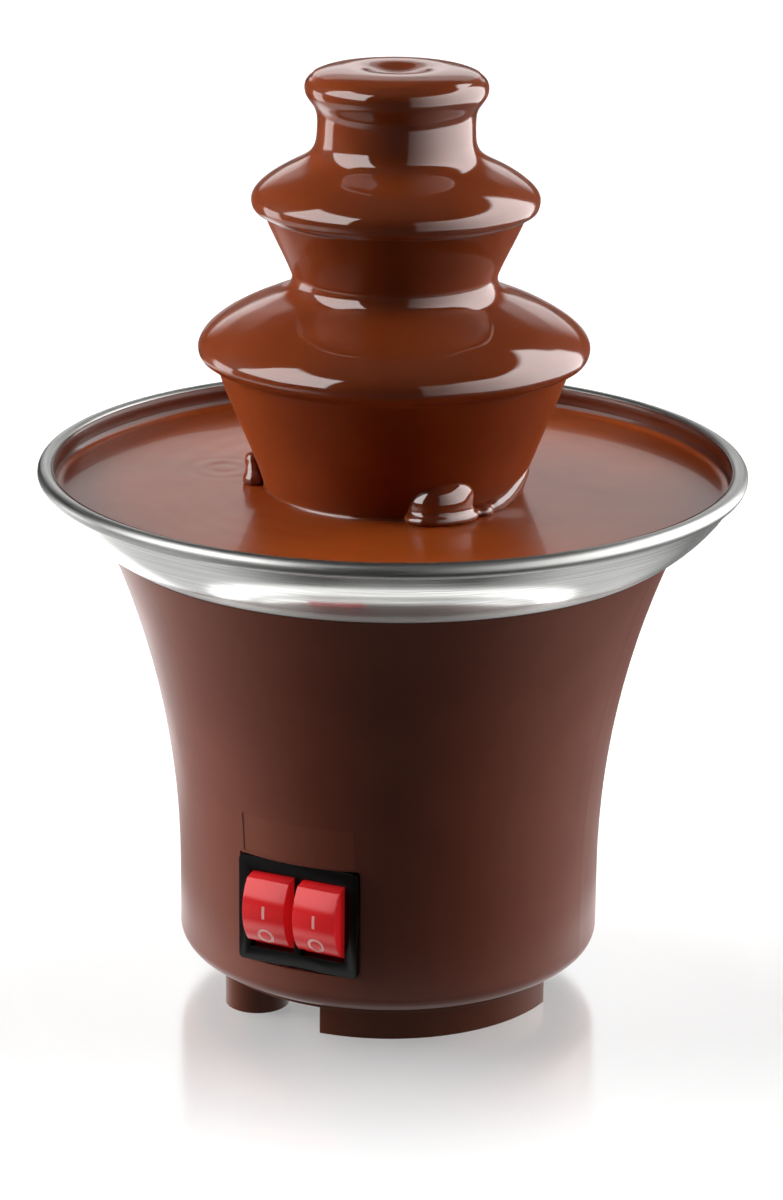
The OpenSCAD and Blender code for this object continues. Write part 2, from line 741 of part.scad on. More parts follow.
// Inside and outside of the crown's cup meet the chocolate along these corners.
cup_rim_r = crown_lip_r - coat_t;
cup_rim_z = crown_lip_z - 0.4;
cup_hub_r = crown_tube_r + run_gap;
module crown_cup() {
  color([0.85, 0.85, 0.85])
  rotate_extrude() polygon([[cup_hub_r, crown_seat_z], [cup_hub_r + 2, crown_seat_z],
    [cup_hub_r + 2.2, tube_top_z - 2], [cup_rim_r, cup_rim_z - 0.6], [cup_rim_r - 0.6, cup_rim_z],
    [cup_rim_r - 1.4, cup_rim_z - 0.4], [cup_hub_r + 0.8, tube_top_z], [cup_hub_r, tube_top_z]]);
}

// A rectangle about the origin with round corners.
module rounded_2d(w, h, r) {
  square([w - 2 * r, h], center = true);
  square([w, h - 2 * r], center = true);
  for (x = [-1, 1], y = [-1, 1]) translate([x * (w / 2 - r), y * (h / 2 - r)]) circle(r = r);
}

module switch_frame() {
  color([0.07, 0.07, 0.07])
  translate([0, -land_y, switch_z]) difference() {
    union() {
      rotate([90, 0, 0]) linear_extrude(bezel_t) rounded_2d(bezel_w, bezel_h, bezel_corner_r);
      translate([-frame_w / 2, -eps, -frame_h / 2]) cube([frame_w, frame_depth, frame_h]);
    }
    for (s = [-1, 1]) translate([s * rocker_pitch / 2 - chamber_w / 2, -bezel_t - 1, -chamber_h / 2])
      cube([chamber_w, frame_depth + bezel_t + 2, chamber_h]);
    translate([-frame_w / 2 + 0.3, pivot_in, 0]) rotate([0, 90, 0])
      cylinder(r = pivot_r + run_gap, h = frame_w - 0.6);
  }
}

module switch_back() {
  plug_w = chamber_w - 2 * seat_gap;
  plug_h = chamber_h - 2 * seat_gap;
  color([0.09, 0.09, 0.09])
  translate([0, -land_y, switch_z]) difference() {
    union() {
      translate([-frame_w / 2, frame_depth, -frame_h / 2]) cube([frame_w, back_t, frame_h]);
      for (s = [-1, 1])
        translate([s * rocker_pitch / 2 - plug_w / 2, frame_depth - back_t, -plug_h / 2])
          cube([plug_w, back_t + eps, plug_h]);
    }
    for (s = [-1, 1]) for (k = [-1, 0, 1])
      translate([s * rocker_pitch / 2 - blade_w / 2 - run_gap, 0, k * blade_drop - blade_t / 2 - run_gap])
        cube([blade_w + 2 * run_gap, frame_depth + back_t + 2, blade_t + 2 * run_gap]);
  }
}

module switch_blades() {
  color([0.78, 0.62, 0.28])
  translate([0, -land_y, switch_z])
    for (s = [-1, 1]) for (k = [-1, 0, 1])
      translate([s * rocker_pitch / 2 - blade_w / 2, blade_in, k * blade_drop - blade_t / 2])
        cube([blade_w, blade_out - blade_in, blade_t]);
}

// A rocker, drawn level about its pivot and then tilted so that its lower end is pressed in.
module rocker(s) {
  front_r = (pow(rocker_h / 2, 2) + pow(rocker_rise - 1, 2)) / (2 * (rocker_rise - 1));
  half = rocker_w / 2;
  pin = half + lift_gap + 0.7;
  translate([s * rocker_pitch / 2, -land_y + pivot_in, switch_z]) rotate([rocker_tilt, 0, 0]) {
    rotate([90, 0, 90]) translate([0, 0, -half]) linear_extrude(rocker_w) {
      intersection() {
        circle(r = rocker_h / 2);
        translate([front_r - rocker_rise, 0]) circle(r = front_r);
        translate([-rocker_rise - 1, -rocker_h]) square([rocker_rise + 3, 2 * rocker_h]);
      }
      translate([0, -2]) square([8, 4]);
    }
    translate([-pin, 0, 0]) rotate([0, 90, 0]) cylinder(r = pivot_r, h = 2 * pin);
  }
}

module rocker_motor() {
  color([0.72, 0.10, 0.09]) rocker(-1);
}

module rocker_heat() {
  color([0.72, 0.10, 0.09]) rocker(1);
}

module terminal_block() {
  color([0.88, 0.87, 0.82])
  translate([-block_w / 2, block_y - block_d / 2, cover_top_z + seat_gap]) difference() {
    cube([block_w, block_d, block_h]);
    for (i = [0:2]) translate([block_w * (2 * i + 1) / 6, block_d / 2, block_h - 3]) cylinder(r = 2, h = 4);
  }
}

// Ends of the wires
block_front_y = block_y - block_d / 2 - seat_gap;
block_side_x = block_w / 2 + seat_gap;
block_mid_z = cover_top_z + 7;
blade_x = rocker_pitch / 2;
blade_side_x = blade_x + blade_w / 2 + seat_gap;
blade_join_y = -land_y + blade_out - 3;
motor_tab_z = motor_z - motor_cap_t - motor_tab_drop - seat_gap;
tab_z = clamp_top_z + 0.2 - seat_gap;
function spot(r, a, z) = [r * sin(a), -r * cos(a), z];
fuse_end = 11 + seat_gap;
thermostat_lead_t = thermostat_r + 3;
function beside(r, t, a, z) = [r * sin(a) - t * cos(a), -r * cos(a) - t * sin(a), z];
function outward(a) = [sin(a), -cos(a), 0];
function along(a) = [-cos(a), -sin(a), 0];
toward_front = [0, -1, 0];
toward_left = [-1, 0, 0];
toward_right = [1, 0, 0];
downward = [0, 0, -1];
blade_half = 2;
thermostat_lead_z = clamp_z - 4.6;
thermostat_lead_at = under_at + blade_half + seat_gap;
fuse_lead_z = clamp_z - fuse_r - seat_gap;

module feed_wire() {
  color([0.45, 0.25, 0.12])
  wire(concat(leave([-block_w / 3, block_front_y, block_mid_z], toward_front),
    [[-13, 2, 17], [-15, -12, 19], [-19, -23, 28]],
    meet([-blade_side_x, blade_join_y, switch_z], toward_left)));
}

module motor_wire() {
  color([0.08, 0.08, 0.08])
  wire(concat(leave([-blade_side_x, blade_join_y, switch_z + blade_drop], toward_left),
    [[-19, -22, 36], [-18, -12, 28], [-13, -3, 22]],
    meet([-motor_tab_x, 0, motor_tab_z], downward)));
}

module motor_return_wire() {
  color([0.10, 0.22, 0.60])
  wire(concat(leave([0, block_front_y, block_mid_z], toward_front), [[4, 6, 19]],
    meet([motor_tab_x, 0, motor_tab_z], downward)));
}

module heat_wire() {
  color([0.60, 0.12, 0.10])
  wire(concat(leave([blade_side_x, blade_join_y, switch_z + blade_drop], toward_right),
    [spot(34, 45, 48), spot(42, 88, 60), spot(42, 130, 70), spot(41, 165, deck_z - 8),
      spot(41, 171, deck_top_z + 1), spot(45, 165, thermostat_lead_z - 3)],
    meet(beside(thermostat_lead_at, -thermostat_lead_t, thermostat_angle, thermostat_lead_z),
      outward(thermostat_angle))));
}

module fuse_wire() {
  color([0.60, 0.12, 0.10])
  wire(concat(leave(beside(thermostat_lead_at, thermostat_lead_t, thermostat_angle, thermostat_lead_z),
      outward(thermostat_angle)),
    [spot(45, 132, thermostat_lead_z), spot(43, 117, thermostat_lead_z + 1)],
    meet(beside(under_at, -fuse_end, fuse_angle, fuse_lead_z), -along(fuse_angle))));
}

module element_wire() {
  color([0.60, 0.12, 0.10])
  wire(concat(leave(beside(under_at, fuse_end, fuse_angle, fuse_lead_z), along(fuse_angle)),
    [spot(40, 57, tab_z - 5), spot(46.5, 56, tab_z - 9)], meet(spot(49, 56, tab_z), downward)));
}

module heat_return_wire() {
  color([0.10, 0.22, 0.60])
  wire(concat(leave([block_side_x, block_y, block_mid_z], toward_right),
    [[24, 20, 22], spot(40, 105, 34), spot(42, 75, 48), spot(42, 52, deck_z - 10),
      spot(43, 48, deck_top_z + 1), spot(46.5, 45, tab_z - 9)],
    meet(spot(49, 44, tab_z), downward)));
}

module chocolate_pool() {
  color([0.36, 0.15, 0.08])
  rotate_extrude() intersection() {
    union() {
      translate([floor_r, bowl_arc_z]) circle(r = bowl_arc_r - sheet_t - seat_gap, $fn = 240);
      translate([0, bowl_top_z]) square([floor_r, bowl_drop]);
    }
    translate([tower_foot_r + lift_gap, bowl_top_z + seat_gap])
      square([rim_r, pool_z - bowl_top_z - seat_gap]);
  }
}

module chocolate_lower_fall() {
  color([0.40, 0.17, 0.09])
  rotate_extrude() fall_2d(lower_tube_r + run_gap, lower_rise, lower_lip_r, lower_lip_z,
    lower_fall_r, lower_fall_z, lower_end_r, lower_end_z);
}

module chocolate_upper_fall() {
  color([0.40, 0.17, 0.09])
  rotate_extrude() fall_2d(upper_tube_r + run_gap, upper_rise, upper_lip_r, upper_lip_z,
    upper_fall_r, upper_fall_z, upper_end_r, upper_end_z);
}

module chocolate_crown() {
  dome_z = crown_lip_z + 4.8;
  color([0.40, 0.17, 0.09])
  rotate_extrude() polygon(concat(
    [[0, tube_top_z + seat_gap], [0, dome_z - 2.2]],
    bez([3, dome_z - 2.2], [5, dome_z - 2], [5, dome_z - 0.2], [7.5, dome_z], 6),
    bez([7.5, dome_z], [14, dome_z + 0.6], [crown_lip_r, dome_z - 0.8], [crown_lip_r, crown_lip_z], 10),
    bez([crown_lip_r, crown_lip_z], [crown_lip_r, crown_lip_z - 3], [neck_r + 0.2, crown_lip_z - 3.4],
      [neck_r, crown_lip_z - 7], 8),
    [[neck_r + 0.2, neck_end_z], [neck_r - 1.9, neck_end_z], [neck_r - 2.1, crown_lip_z - 7],
      [cup_rim_r - 0.5, crown_lip_z - 2.4], [cup_rim_r, cup_rim_z - 0.6], [cup_rim_r - 0.6, cup_rim_z],
      [cup_rim_r - 1.4, cup_rim_z - 0.4], [cup_hub_r + 0.8, tube_top_z + seat_gap]]));
}

base_housing();
bottom_cover();
cover_screws();
cord_grommet();
bowl();
bowl_studs();
tower_pegs();
heater_plate();
heater_ring();
heater_tabs();
heater_clamp();
thermostat();
thermal_fuse();
stud_sleeves();
stud_nuts();
deck_plate();
deck_screws();
gearbox();
motor_can();
motor_cap();
motor_tabs();
motor_screws();
motor_nuts();
shaft_bush();
bush_nut();
shaft_seal();
drive_shaft();
auger();
tower_tube();
lower_skirt();
upper_skirt();
crown_cup();
switch_frame();
switch_back();
switch_blades();
rocker_motor();
rocker_heat();
terminal_block();
feed_wire();
heat_wire();
fuse_wire();
element_wire();
heat_return_wire();
motor_wire();
motor_return_wire();
chocolate_pool();
chocolate_lower_fall();
chocolate_upper_fall();
chocolate_crown();
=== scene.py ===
# %% [markdown]
# A tabletop chocolate fountain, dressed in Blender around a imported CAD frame.
# The frame gives every node at its real size and place, in metres, and says which body each one rides on.
# Blender adds what the frame lacks: the wet chocolate, the brushed bowl, soft edges on the
# mouldings, and light.

# %% Load the frame
import bpy
import math
from mathutils import Matrix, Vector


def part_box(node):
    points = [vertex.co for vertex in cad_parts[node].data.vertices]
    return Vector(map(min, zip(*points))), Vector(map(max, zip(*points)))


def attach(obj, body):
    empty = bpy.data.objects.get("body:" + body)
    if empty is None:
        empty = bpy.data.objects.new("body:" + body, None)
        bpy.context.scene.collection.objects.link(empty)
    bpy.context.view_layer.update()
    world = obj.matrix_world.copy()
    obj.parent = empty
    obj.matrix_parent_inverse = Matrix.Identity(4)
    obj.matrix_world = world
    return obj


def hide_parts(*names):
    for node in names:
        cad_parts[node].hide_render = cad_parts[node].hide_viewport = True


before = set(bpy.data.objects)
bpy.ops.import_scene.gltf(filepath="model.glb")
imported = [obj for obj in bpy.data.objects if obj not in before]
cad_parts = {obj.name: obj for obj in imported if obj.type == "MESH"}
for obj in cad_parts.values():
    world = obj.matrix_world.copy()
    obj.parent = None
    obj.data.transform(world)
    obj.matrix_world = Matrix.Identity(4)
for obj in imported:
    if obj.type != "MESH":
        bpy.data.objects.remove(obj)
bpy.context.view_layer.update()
MM = 0.001
TURN = 2 * math.pi

# %% [markdown]
# The camera stands a little to the right of the switch and looks down at about 18 degrees, from 0.9 m away.
# A long lens keeps the tower upright and the tiers nearly flat, as in a catalogue picture.
# The small roll matches a picture in which the right end of the rim sits lower than the left.

# %% Camera
CAMERA_AZIMUTH = math.radians(25)
CAMERA_DISTANCE = 0.900
CAMERA_HEIGHT = 0.389
CAMERA_PITCH = math.radians(18)
CAMERA_ROLL = math.radians(0.6)
SENSOR = 36.0
FOCAL_PIXELS = 3901
FRAME_PIXELS = 1200

camera_data = bpy.data.cameras.new("camera")
camera_data.sensor_fit = "AUTO"
camera_data.sensor_width = SENSOR
camera_data.lens = FOCAL_PIXELS / FRAME_PIXELS * SENSOR
camera_data.clip_start = 0.01
camera = bpy.data.objects.new("camera", camera_data)
bpy.context.scene.collection.objects.link(camera)
camera.location = (
    CAMERA_DISTANCE * math.sin(CAMERA_AZIMUTH),
    -CAMERA_DISTANCE * math.cos(CAMERA_AZIMUTH),
    CAMERA_HEIGHT,
)
turn = Matrix.Rotation(CAMERA_AZIMUTH, 3, "Z")
tilt = Matrix.Rotation(math.pi / 2 - CAMERA_PITCH, 3, "X")
roll = Matrix.Rotation(CAMERA_ROLL, 3, "Z")
camera.rotation_euler = (turn @ tilt @ roll).to_euler()
bpy.context.scene.camera = camera
bpy.context.scene.view_settings.view_transform = "Standard"
print("camera at", [round(v, 4) for v in camera.location], "lens", round(camera_data.lens, 2))

# %% [markdown]
# Node materials are easier to read when a node and its settings fit on one line.
# These helpers add a node, set its sockets by name and join two sockets.

# %% Node helpers
def add(tree, kind, inputs=None, **settings):
    """One node, with its properties and its unlinked sockets set."""
    made = tree.nodes.new(kind)
    for key, value in settings.items():
        setattr(made, key, value)
    for key, value in (inputs or {}).items():
        made.inputs[key].default_value = value
    return made


def join(tree, source, target):
    tree.links.new(source, target)
    return target


def math_node(tree, operation, a, b=0.0):
    """A Math node fed by sockets or plain numbers."""
    made = add(tree, "ShaderNodeMath", operation=operation)
    for slot, value in enumerate((a, b)):
        if isinstance(value, (int, float)):
            made.inputs[slot].default_value = value
        else:
            join(tree, value, made.inputs[slot])
    return made.outputs[0]


def times(tree, a, b):
    """The product of two values."""
    return math_node(tree, "MULTIPLY", a, b)


def plus(tree, *values):
    """The sum of several values."""
    total = values[0]
    for value in values[1:]:
        total = math_node(tree, "ADD", total, value)
    return total


def object_axes(tree):
    """The X, Y and Z of a point in its piece's own frame, as sockets."""
    where = add(tree, "ShaderNodeTexCoord")
    axes = add(tree, "ShaderNodeSeparateXYZ")
    join(tree, where.outputs["Object"], axes.inputs[0])
    return axes.outputs


def from_axis(tree, axes):
    """How far a point is from the Z axis."""
    squares = plus(tree, times(tree, axes["X"], axes["X"]), times(tree, axes["Y"], axes["Y"]))
    return math_node(tree, "SQRT", squares)


def ramp_between(tree, value, low, high, start=0.0, end=1.0):
    """A smooth step from start to end as value goes from low to high."""
    made = add(tree, "ShaderNodeMapRange", interpolation_type="SMOOTHSTEP")
    join(tree, value, made.inputs["Value"])
    made.inputs["From Min"].default_value = low
    made.inputs["From Max"].default_value = high
    made.inputs["To Min"].default_value = start
    made.inputs["To Max"].default_value = end
    return made.outputs["Result"]


def band(tree, value, low, high, soft):
    """A mask that is 1 between low and high, with soft sides."""
    rise = ramp_between(tree, value, low - soft, low + soft)
    fall = ramp_between(tree, value, high - soft, high + soft, 1.0, 0.0)
    return times(tree, rise, fall)


def mix_color(tree, amount, first, second):
    """A colour mix. amount is a socket, and first and second are colours or sockets."""
    made = add(tree, "ShaderNodeMix", data_type="RGBA")
    for name, value in (("Factor_Float", amount), ("A_Color", first), ("B_Color", second)):
        socket = next(s for s in made.inputs if s.identifier == name)
        if isinstance(value, tuple):
            socket.default_value = value
        else:
            join(tree, value, socket)
    return next(s for s in made.outputs if s.identifier == "Result_Color")


def rgb(hex_code):
    """A screen colour written as hex, turned into the linear values that shaders use."""
    parts = [int(hex_code[i:i + 2], 16) / 255 for i in (1, 3, 5)]
    linear = [c / 12.92 if c <= 0.04045 else ((c + 0.055) / 1.055) ** 2.4 for c in parts]
    return (*linear, 1.0)


print("helpers ready")

# %% [markdown]
# The studio is a white room with a large soft window on each side and a dim area behind the camera.
# Wet chocolate is close to a mirror, so what it shows is the room: two pale shapes with a dark gap between.
# Painting the room in the world shader gives soft light from everywhere, with no lamp to hide from view.
# Glossy rays see the windows with their sharp edges. The soft light comes from the same two sides.
# The camera itself sees plain white.

# %% Studio room
LEFT_WINDOW = (-101, -38)
LEFT_HEIGHT = (8, 56)
LOW_WINDOW = (-127, -105)
LOW_TOP = 3
RIGHT_WINDOW = (17, 140)
WINDOW_TOP = 46
WINDOW_SHINE = 3.6
LEFT_SHINE = 1.3
BACK_LOW = 2.3
BACK_MID = 1.7
BACK_HIGH = 0.7
BACK_SIDES = (152, 164)
BACK_HEIGHT = (8, 30)
BACK_FALL = (8, 13.5)
BACK_DIM = (17.6, 20.6)
GROWTH = (0.08, 1.4)
GROWTH_END = 110
ROOM_BOTTOM = -40
CEILING = (50, 70)
CEILING_DARK = 0.02
TOP_SHINE = 0.05
FILL_STRIP = (80, 130)
FILL_TOP = 31
FILL_LIGHT = 11.6
FILL_RIGHT = 0.68
FRONT_FILL = 0.016
BACK_FILL = 0.28
TOP_FILL = 0.4

world = bpy.data.worlds.new("studio")
bpy.context.scene.world = world
world.use_nodes = True
world.cycles.sampling_method = "NONE"
room = world.node_tree
room.nodes.clear()


def camera_angles(tree, vector):
    """Azimuth and height in degrees of a direction, with azimuth counted from the camera to its right."""
    facing = add(tree, "ShaderNodeMapping")
    facing.inputs["Rotation"].default_value = (0, 0, -CAMERA_AZIMUTH)
    join(tree, vector, facing.inputs["Vector"])
    axes = add(tree, "ShaderNodeSeparateXYZ")
    join(tree, facing.outputs["Vector"], axes.inputs[0])
    toward = times(tree, axes.outputs["Y"], -1.0)
    azimuth = math_node(tree, "ARCTAN2", axes.outputs["X"], toward)
    height = math_node(tree, "ARCSINE", axes.outputs["Z"])
    return times(tree, azimuth, 180 / math.pi), times(tree, height, 180 / math.pi)


def right_window(tree, azimuth):
    """The right window by azimuth. It grows brighter away from the camera."""
    open_part = band(tree, azimuth, *RIGHT_WINDOW, 2)
    growing = ramp_between(tree, azimuth, RIGHT_WINDOW[0] - 10, GROWTH_END, *GROWTH)
    return times(tree, open_part, growing)


def seen_mirrored(tree, path):
    """1 for a ray that only met mirrors since the camera, so that the windows add no stray light."""
    unspread = math_node(tree, "LESS_THAN", path.outputs["Diffuse Depth"], 0.5)
    return times(tree, path.outputs["Is Glossy Ray"], unspread)


where = add(room, "ShaderNodeTexCoord")
azimuth, height = camera_angles(room, where.outputs["Generated"])
aside = math_node(room, "ABSOLUTE", azimuth)
tall = band(room, height, ROOM_BOTTOM, WINDOW_TOP, 2)
low = band(room, height, ROOM_BOTTOM, LOW_TOP, 2)
left_shape = times(room, band(room, azimuth, *LEFT_WINDOW, 1.5), band(room, height, *LEFT_HEIGHT, 2))
low_shape = times(room, band(room, azimuth, *LOW_WINDOW, 1.5), low)
right_shape = times(room, right_window(room, azimuth), tall)
left_shape = times(room, left_shape, LEFT_SHINE)
windows = times(room, plus(room, left_shape, low_shape, right_shape), WINDOW_SHINE)
back = times(room, ramp_between(room, aside, *BACK_SIDES), band(room, height, *BACK_HEIGHT, 2))
falling = ramp_between(room, height, *BACK_FALL, BACK_LOW, BACK_MID)
dimming = ramp_between(room, height, *BACK_DIM, 0.0, BACK_HIGH - BACK_MID)
back = times(room, back, plus(room, falling, dimming))
overhead = ramp_between(room, height, *CEILING, CEILING_DARK, TOP_SHINE)
shine = plus(room, windows, back, overhead)
strips = times(room, band(room, aside, *FILL_STRIP, 6), band(room, height, ROOM_BOTTOM, FILL_TOP, 6))
behind = ramp_between(room, aside, 130, 160, FRONT_FILL, BACK_FILL)
above = ramp_between(room, height, 45, 70, 0.0, TOP_FILL)
strips = times(room, strips, ramp_between(room, azimuth, -20, 20, 1.0, FILL_RIGHT))
fill = plus(room, times(room, strips, FILL_LIGHT), behind, above)
path = add(room, "ShaderNodeLightPath")
by_kind = add(room, "ShaderNodeMix", data_type="FLOAT")
join(room, seen_mirrored(room, path), by_kind.inputs[0])
join(room, fill, by_kind.inputs[2])
join(room, shine, by_kind.inputs[3])
strength = add(room, "ShaderNodeMix", data_type="FLOAT")
join(room, path.outputs["Is Camera Ray"], strength.inputs[0])
join(room, by_kind.outputs[0], strength.inputs[2])
strength.inputs[3].default_value = 1.0
background = add(room, "ShaderNodeBackground", {"Color": (1.0, 1.0, 1.0, 1.0)})
join(room, strength.outputs[0], background.inputs["Strength"])
output = add(room, "ShaderNodeOutputWorld")
join(room, background.outputs[0], output.inputs[0])
print("room: windows at", LEFT_WINDOW, LOW_WINDOW, RIGHT_WINDOW, "degrees from the camera")

# %% [markdown]
# The floor is a sheet of white acrylic. It shows a faint mirror image of the base and a soft contact shadow.
# Glossy rays see it as the studio does: bright under the two windows and dim in front, where nothing is lit.
# Only the camera sees it as plain white, so the object's reflections stay those of a real studio.

# %% Floor
FLOOR_HALF = 4.0
FLOOR_SHEEN = 0.46
SHEEN_NEAR = 0.046
SHEEN_FAR = 0.135
FLOOR_GLOW = 0.56
FLOOR_COLOR = (0.65, 0.65, 0.65, 1.0)
BOUNCE_COLOR = (0.2, 0.2, 0.2, 1.0)
NEAR_LEFT = 0.85
NEAR_RIGHT = 0.4
UNDER_SHINE = 1.7
FOOT_SHINE = 1.0
RIM_SHINE = 1.5
BEHIND_SHINE = 0.5
FAR_SHINE = 3.4
LEFT_SIDES = (-75, -25)
RIGHT_SIDES = (25, 75)
SIDE_DARK = 0.03
LEFT_REACH = (0.12, 0.2, 0.95, 1.25)
RIGHT_REACH = (0.12, 0.22, 2.0, 0.55)
UNDER_BAND = (0.068, 0.089, 0.007)
FOOT_FADE = (0.056, 0.066)
BEHIND_SIDES = (158, 172)
BEHIND_FROM = (0.25, 0.35)
RIM_SIDES = (-168, -125, 8)
RIM_REACH = (0.14, 0.40, 0.04)
FAR_FROM = (0.42, 0.52)
FAR_DARK = 0.05
SHEEN_ROUGHNESS = 0.16

bpy.ops.object.select_all(action="DESELECT")
bpy.ops.mesh.primitive_plane_add(size=2 * FLOOR_HALF, location=(0, 0, 0))
floor = bpy.context.object
floor.name = "floor"
acrylic = bpy.data.materials.new("white_acrylic")
acrylic.use_nodes = True
tree = acrylic.node_tree
tree.nodes.clear()
place = add(tree, "ShaderNodeTexCoord")
azimuth, _ = camera_angles(tree, place.outputs["Object"])
away = add(tree, "ShaderNodeVectorMath", operation="LENGTH")
join(tree, place.outputs["Object"], away.inputs[0])
distance = away.outputs["Value"]
sides = plus(tree, band(tree, azimuth, *LOW_WINDOW, 2), right_window(tree, azimuth))
far_light = times(tree, sides, FAR_SHINE)
left_light = ramp_between(tree, azimuth, *LEFT_SIDES, NEAR_LEFT, SIDE_DARK)
right_light = ramp_between(tree, azimuth, *RIGHT_SIDES, SIDE_DARK, NEAR_RIGHT)
left_light = times(tree, left_light, ramp_between(tree, distance, *LEFT_REACH))
right_light = times(tree, right_light, ramp_between(tree, distance, *RIGHT_REACH))
under_light = times(tree, band(tree, distance, *UNDER_BAND), UNDER_SHINE)
foot_light = ramp_between(tree, distance, *FOOT_FADE, FOOT_SHINE, 0.0)
near_light = plus(tree, left_light, right_light, under_light, foot_light)
behind = ramp_between(tree, math_node(tree, "ABSOLUTE", azimuth), *BEHIND_SIDES, 0.0, BEHIND_SHINE)
behind = times(tree, behind, ramp_between(tree, distance, *BEHIND_FROM))
rim_light = times(tree, band(tree, azimuth, *RIM_SIDES), band(tree, distance, *RIM_REACH))
behind = plus(tree, behind, times(tree, rim_light, RIM_SHINE))
mirrored = add(tree, "ShaderNodeEmission")
strength = add(tree, "ShaderNodeMix", data_type="FLOAT")
join(tree, ramp_between(tree, distance, *FAR_FROM), strength.inputs[0])
join(tree, near_light, strength.inputs[2])
join(tree, plus(tree, far_light, FAR_DARK), strength.inputs[3])
join(tree, plus(tree, strength.outputs[0], behind), mirrored.inputs["Strength"])
matt = add(tree, "ShaderNodeBsdfDiffuse", {"Color": FLOOR_COLOR})
glow = add(tree, "ShaderNodeEmission", {"Strength": FLOOR_GLOW})
white = add(tree, "ShaderNodeAddShader")
join(tree, matt.outputs[0], white.inputs[0])
join(tree, glow.outputs[0], white.inputs[1])
sheen_here = ramp_between(tree, distance, SHEEN_NEAR, SHEEN_FAR, FLOOR_SHEEN, 0.0)
sheen = add(tree, "ShaderNodeBsdfGlossy", {"Roughness": SHEEN_ROUGHNESS})
join(tree, math_node(tree, "DIVIDE", sheen_here, BACK_HIGH), sheen.inputs["Color"])
dimmed = add(tree, "ShaderNodeMixShader")
join(tree, sheen_here, dimmed.inputs["Fac"])
join(tree, white.outputs[0], dimmed.inputs[1])
polished = add(tree, "ShaderNodeAddShader")
join(tree, dimmed.outputs[0], polished.inputs[0])
join(tree, sheen.outputs[0], polished.inputs[1])
path = add(tree, "ShaderNodeLightPath")
by_camera = add(tree, "ShaderNodeMixShader")
join(tree, path.outputs["Is Camera Ray"], by_camera.inputs["Fac"])
bounce = add(tree, "ShaderNodeBsdfDiffuse", {"Color": BOUNCE_COLOR})
join(tree, bounce.outputs[0], by_camera.inputs[1])
join(tree, polished.outputs[0], by_camera.inputs[2])
by_gloss = add(tree, "ShaderNodeMixShader")
join(tree, seen_mirrored(tree, path), by_gloss.inputs["Fac"])
join(tree, by_camera.outputs[0], by_gloss.inputs[1])
join(tree, mirrored.outputs[0], by_gloss.inputs[2])
output = add(tree, "ShaderNodeOutputMaterial")
join(tree, by_gloss.outputs[0], output.inputs[0])
floor.data.materials.append(acrylic)
print("floor", 2 * FLOOR_HALF, "m square")

# %% [markdown]
# Surfaces that share an effect share a node group. A group puts out only masks, heights and colours.
# Moulded plastic has a fine spark-eroded grain, turned steel has lines that run round its axis, and every
# surface drifts a little in tone from place to place.

# %% Shared surface effects
def new_group(name, inputs, outputs):
    """An empty node group with its sockets, and its two end nodes."""
    group = bpy.data.node_groups.new(name, "ShaderNodeTree")
    for label, kind, value in inputs:
        socket = group.interface.new_socket(label, in_out="INPUT", socket_type=kind)
        socket.default_value = value
    for label, kind in outputs:
        group.interface.new_socket(label, in_out="OUTPUT", socket_type=kind)
    start = group.nodes.new("NodeGroupInput")
    end = group.nodes.new("NodeGroupOutput")
    return group, start, end


def make_grain_group():
    """A fine moulded grain: height for a bump, and a speck mask for roughness."""
    group, start, end = new_group(
        "moulded_grain",
        [("Scale", "NodeSocketFloat", 2500.0), ("Spread", "NodeSocketFloat", 0.1)],
        [("Height", "NodeSocketFloat"), ("Roughness", "NodeSocketFloat")],
    )
    where = add(group, "ShaderNodeTexCoord")
    fine = add(group, "ShaderNodeTexNoise", {"Detail": 2.0, "Roughness": 0.6})
    join(group, where.outputs["Object"], fine.inputs["Vector"])
    join(group, start.outputs["Scale"], fine.inputs["Scale"])
    wide = add(group, "ShaderNodeTexNoise", {"Scale": 45.0, "Detail": 3.0})
    join(group, where.outputs["Object"], wide.inputs["Vector"])
    drift = math_node(group, "SUBTRACT", wide.outputs["Fac"], 0.5)
    join(group, fine.outputs["Fac"], end.inputs["Height"])
    join(group, times(group, drift, start.outputs["Spread"]), end.inputs["Roughness"])
    return group


def make_lines_group():
    """Fine lines that run round the Z axis, as a polishing wheel leaves on a spun bowl."""
    group, start, end = new_group(
        "turned_lines",
        [("Density", "NodeSocketFloat", 2200.0), ("Breaks", "NodeSocketFloat", 2.0)],
        [("Height", "NodeSocketFloat"), ("Streak", "NodeSocketFloat")],
    )
    axes = object_axes(group)
    radius = from_axis(group, axes)
    angle = math_node(group, "ARCTAN2", axes["Y"], axes["X"])
    across = add(group, "ShaderNodeCombineXYZ")
    join(group, times(group, radius, start.outputs["Density"]), across.inputs["X"])
    join(group, times(group, axes["Z"], start.outputs["Density"]), across.inputs["Y"])
    join(group, times(group, angle, start.outputs["Breaks"]), across.inputs["Z"])
    lines = add(group, "ShaderNodeTexNoise", {"Scale": 1.0, "Detail": 3.0, "Roughness": 0.65})
    join(group, across.outputs[0], lines.inputs["Vector"])
    join(group, lines.outputs["Fac"], end.inputs["Height"])
    join(group, ramp_between(group, lines.outputs["Fac"], 0.3, 0.7), end.inputs["Streak"])
    return group


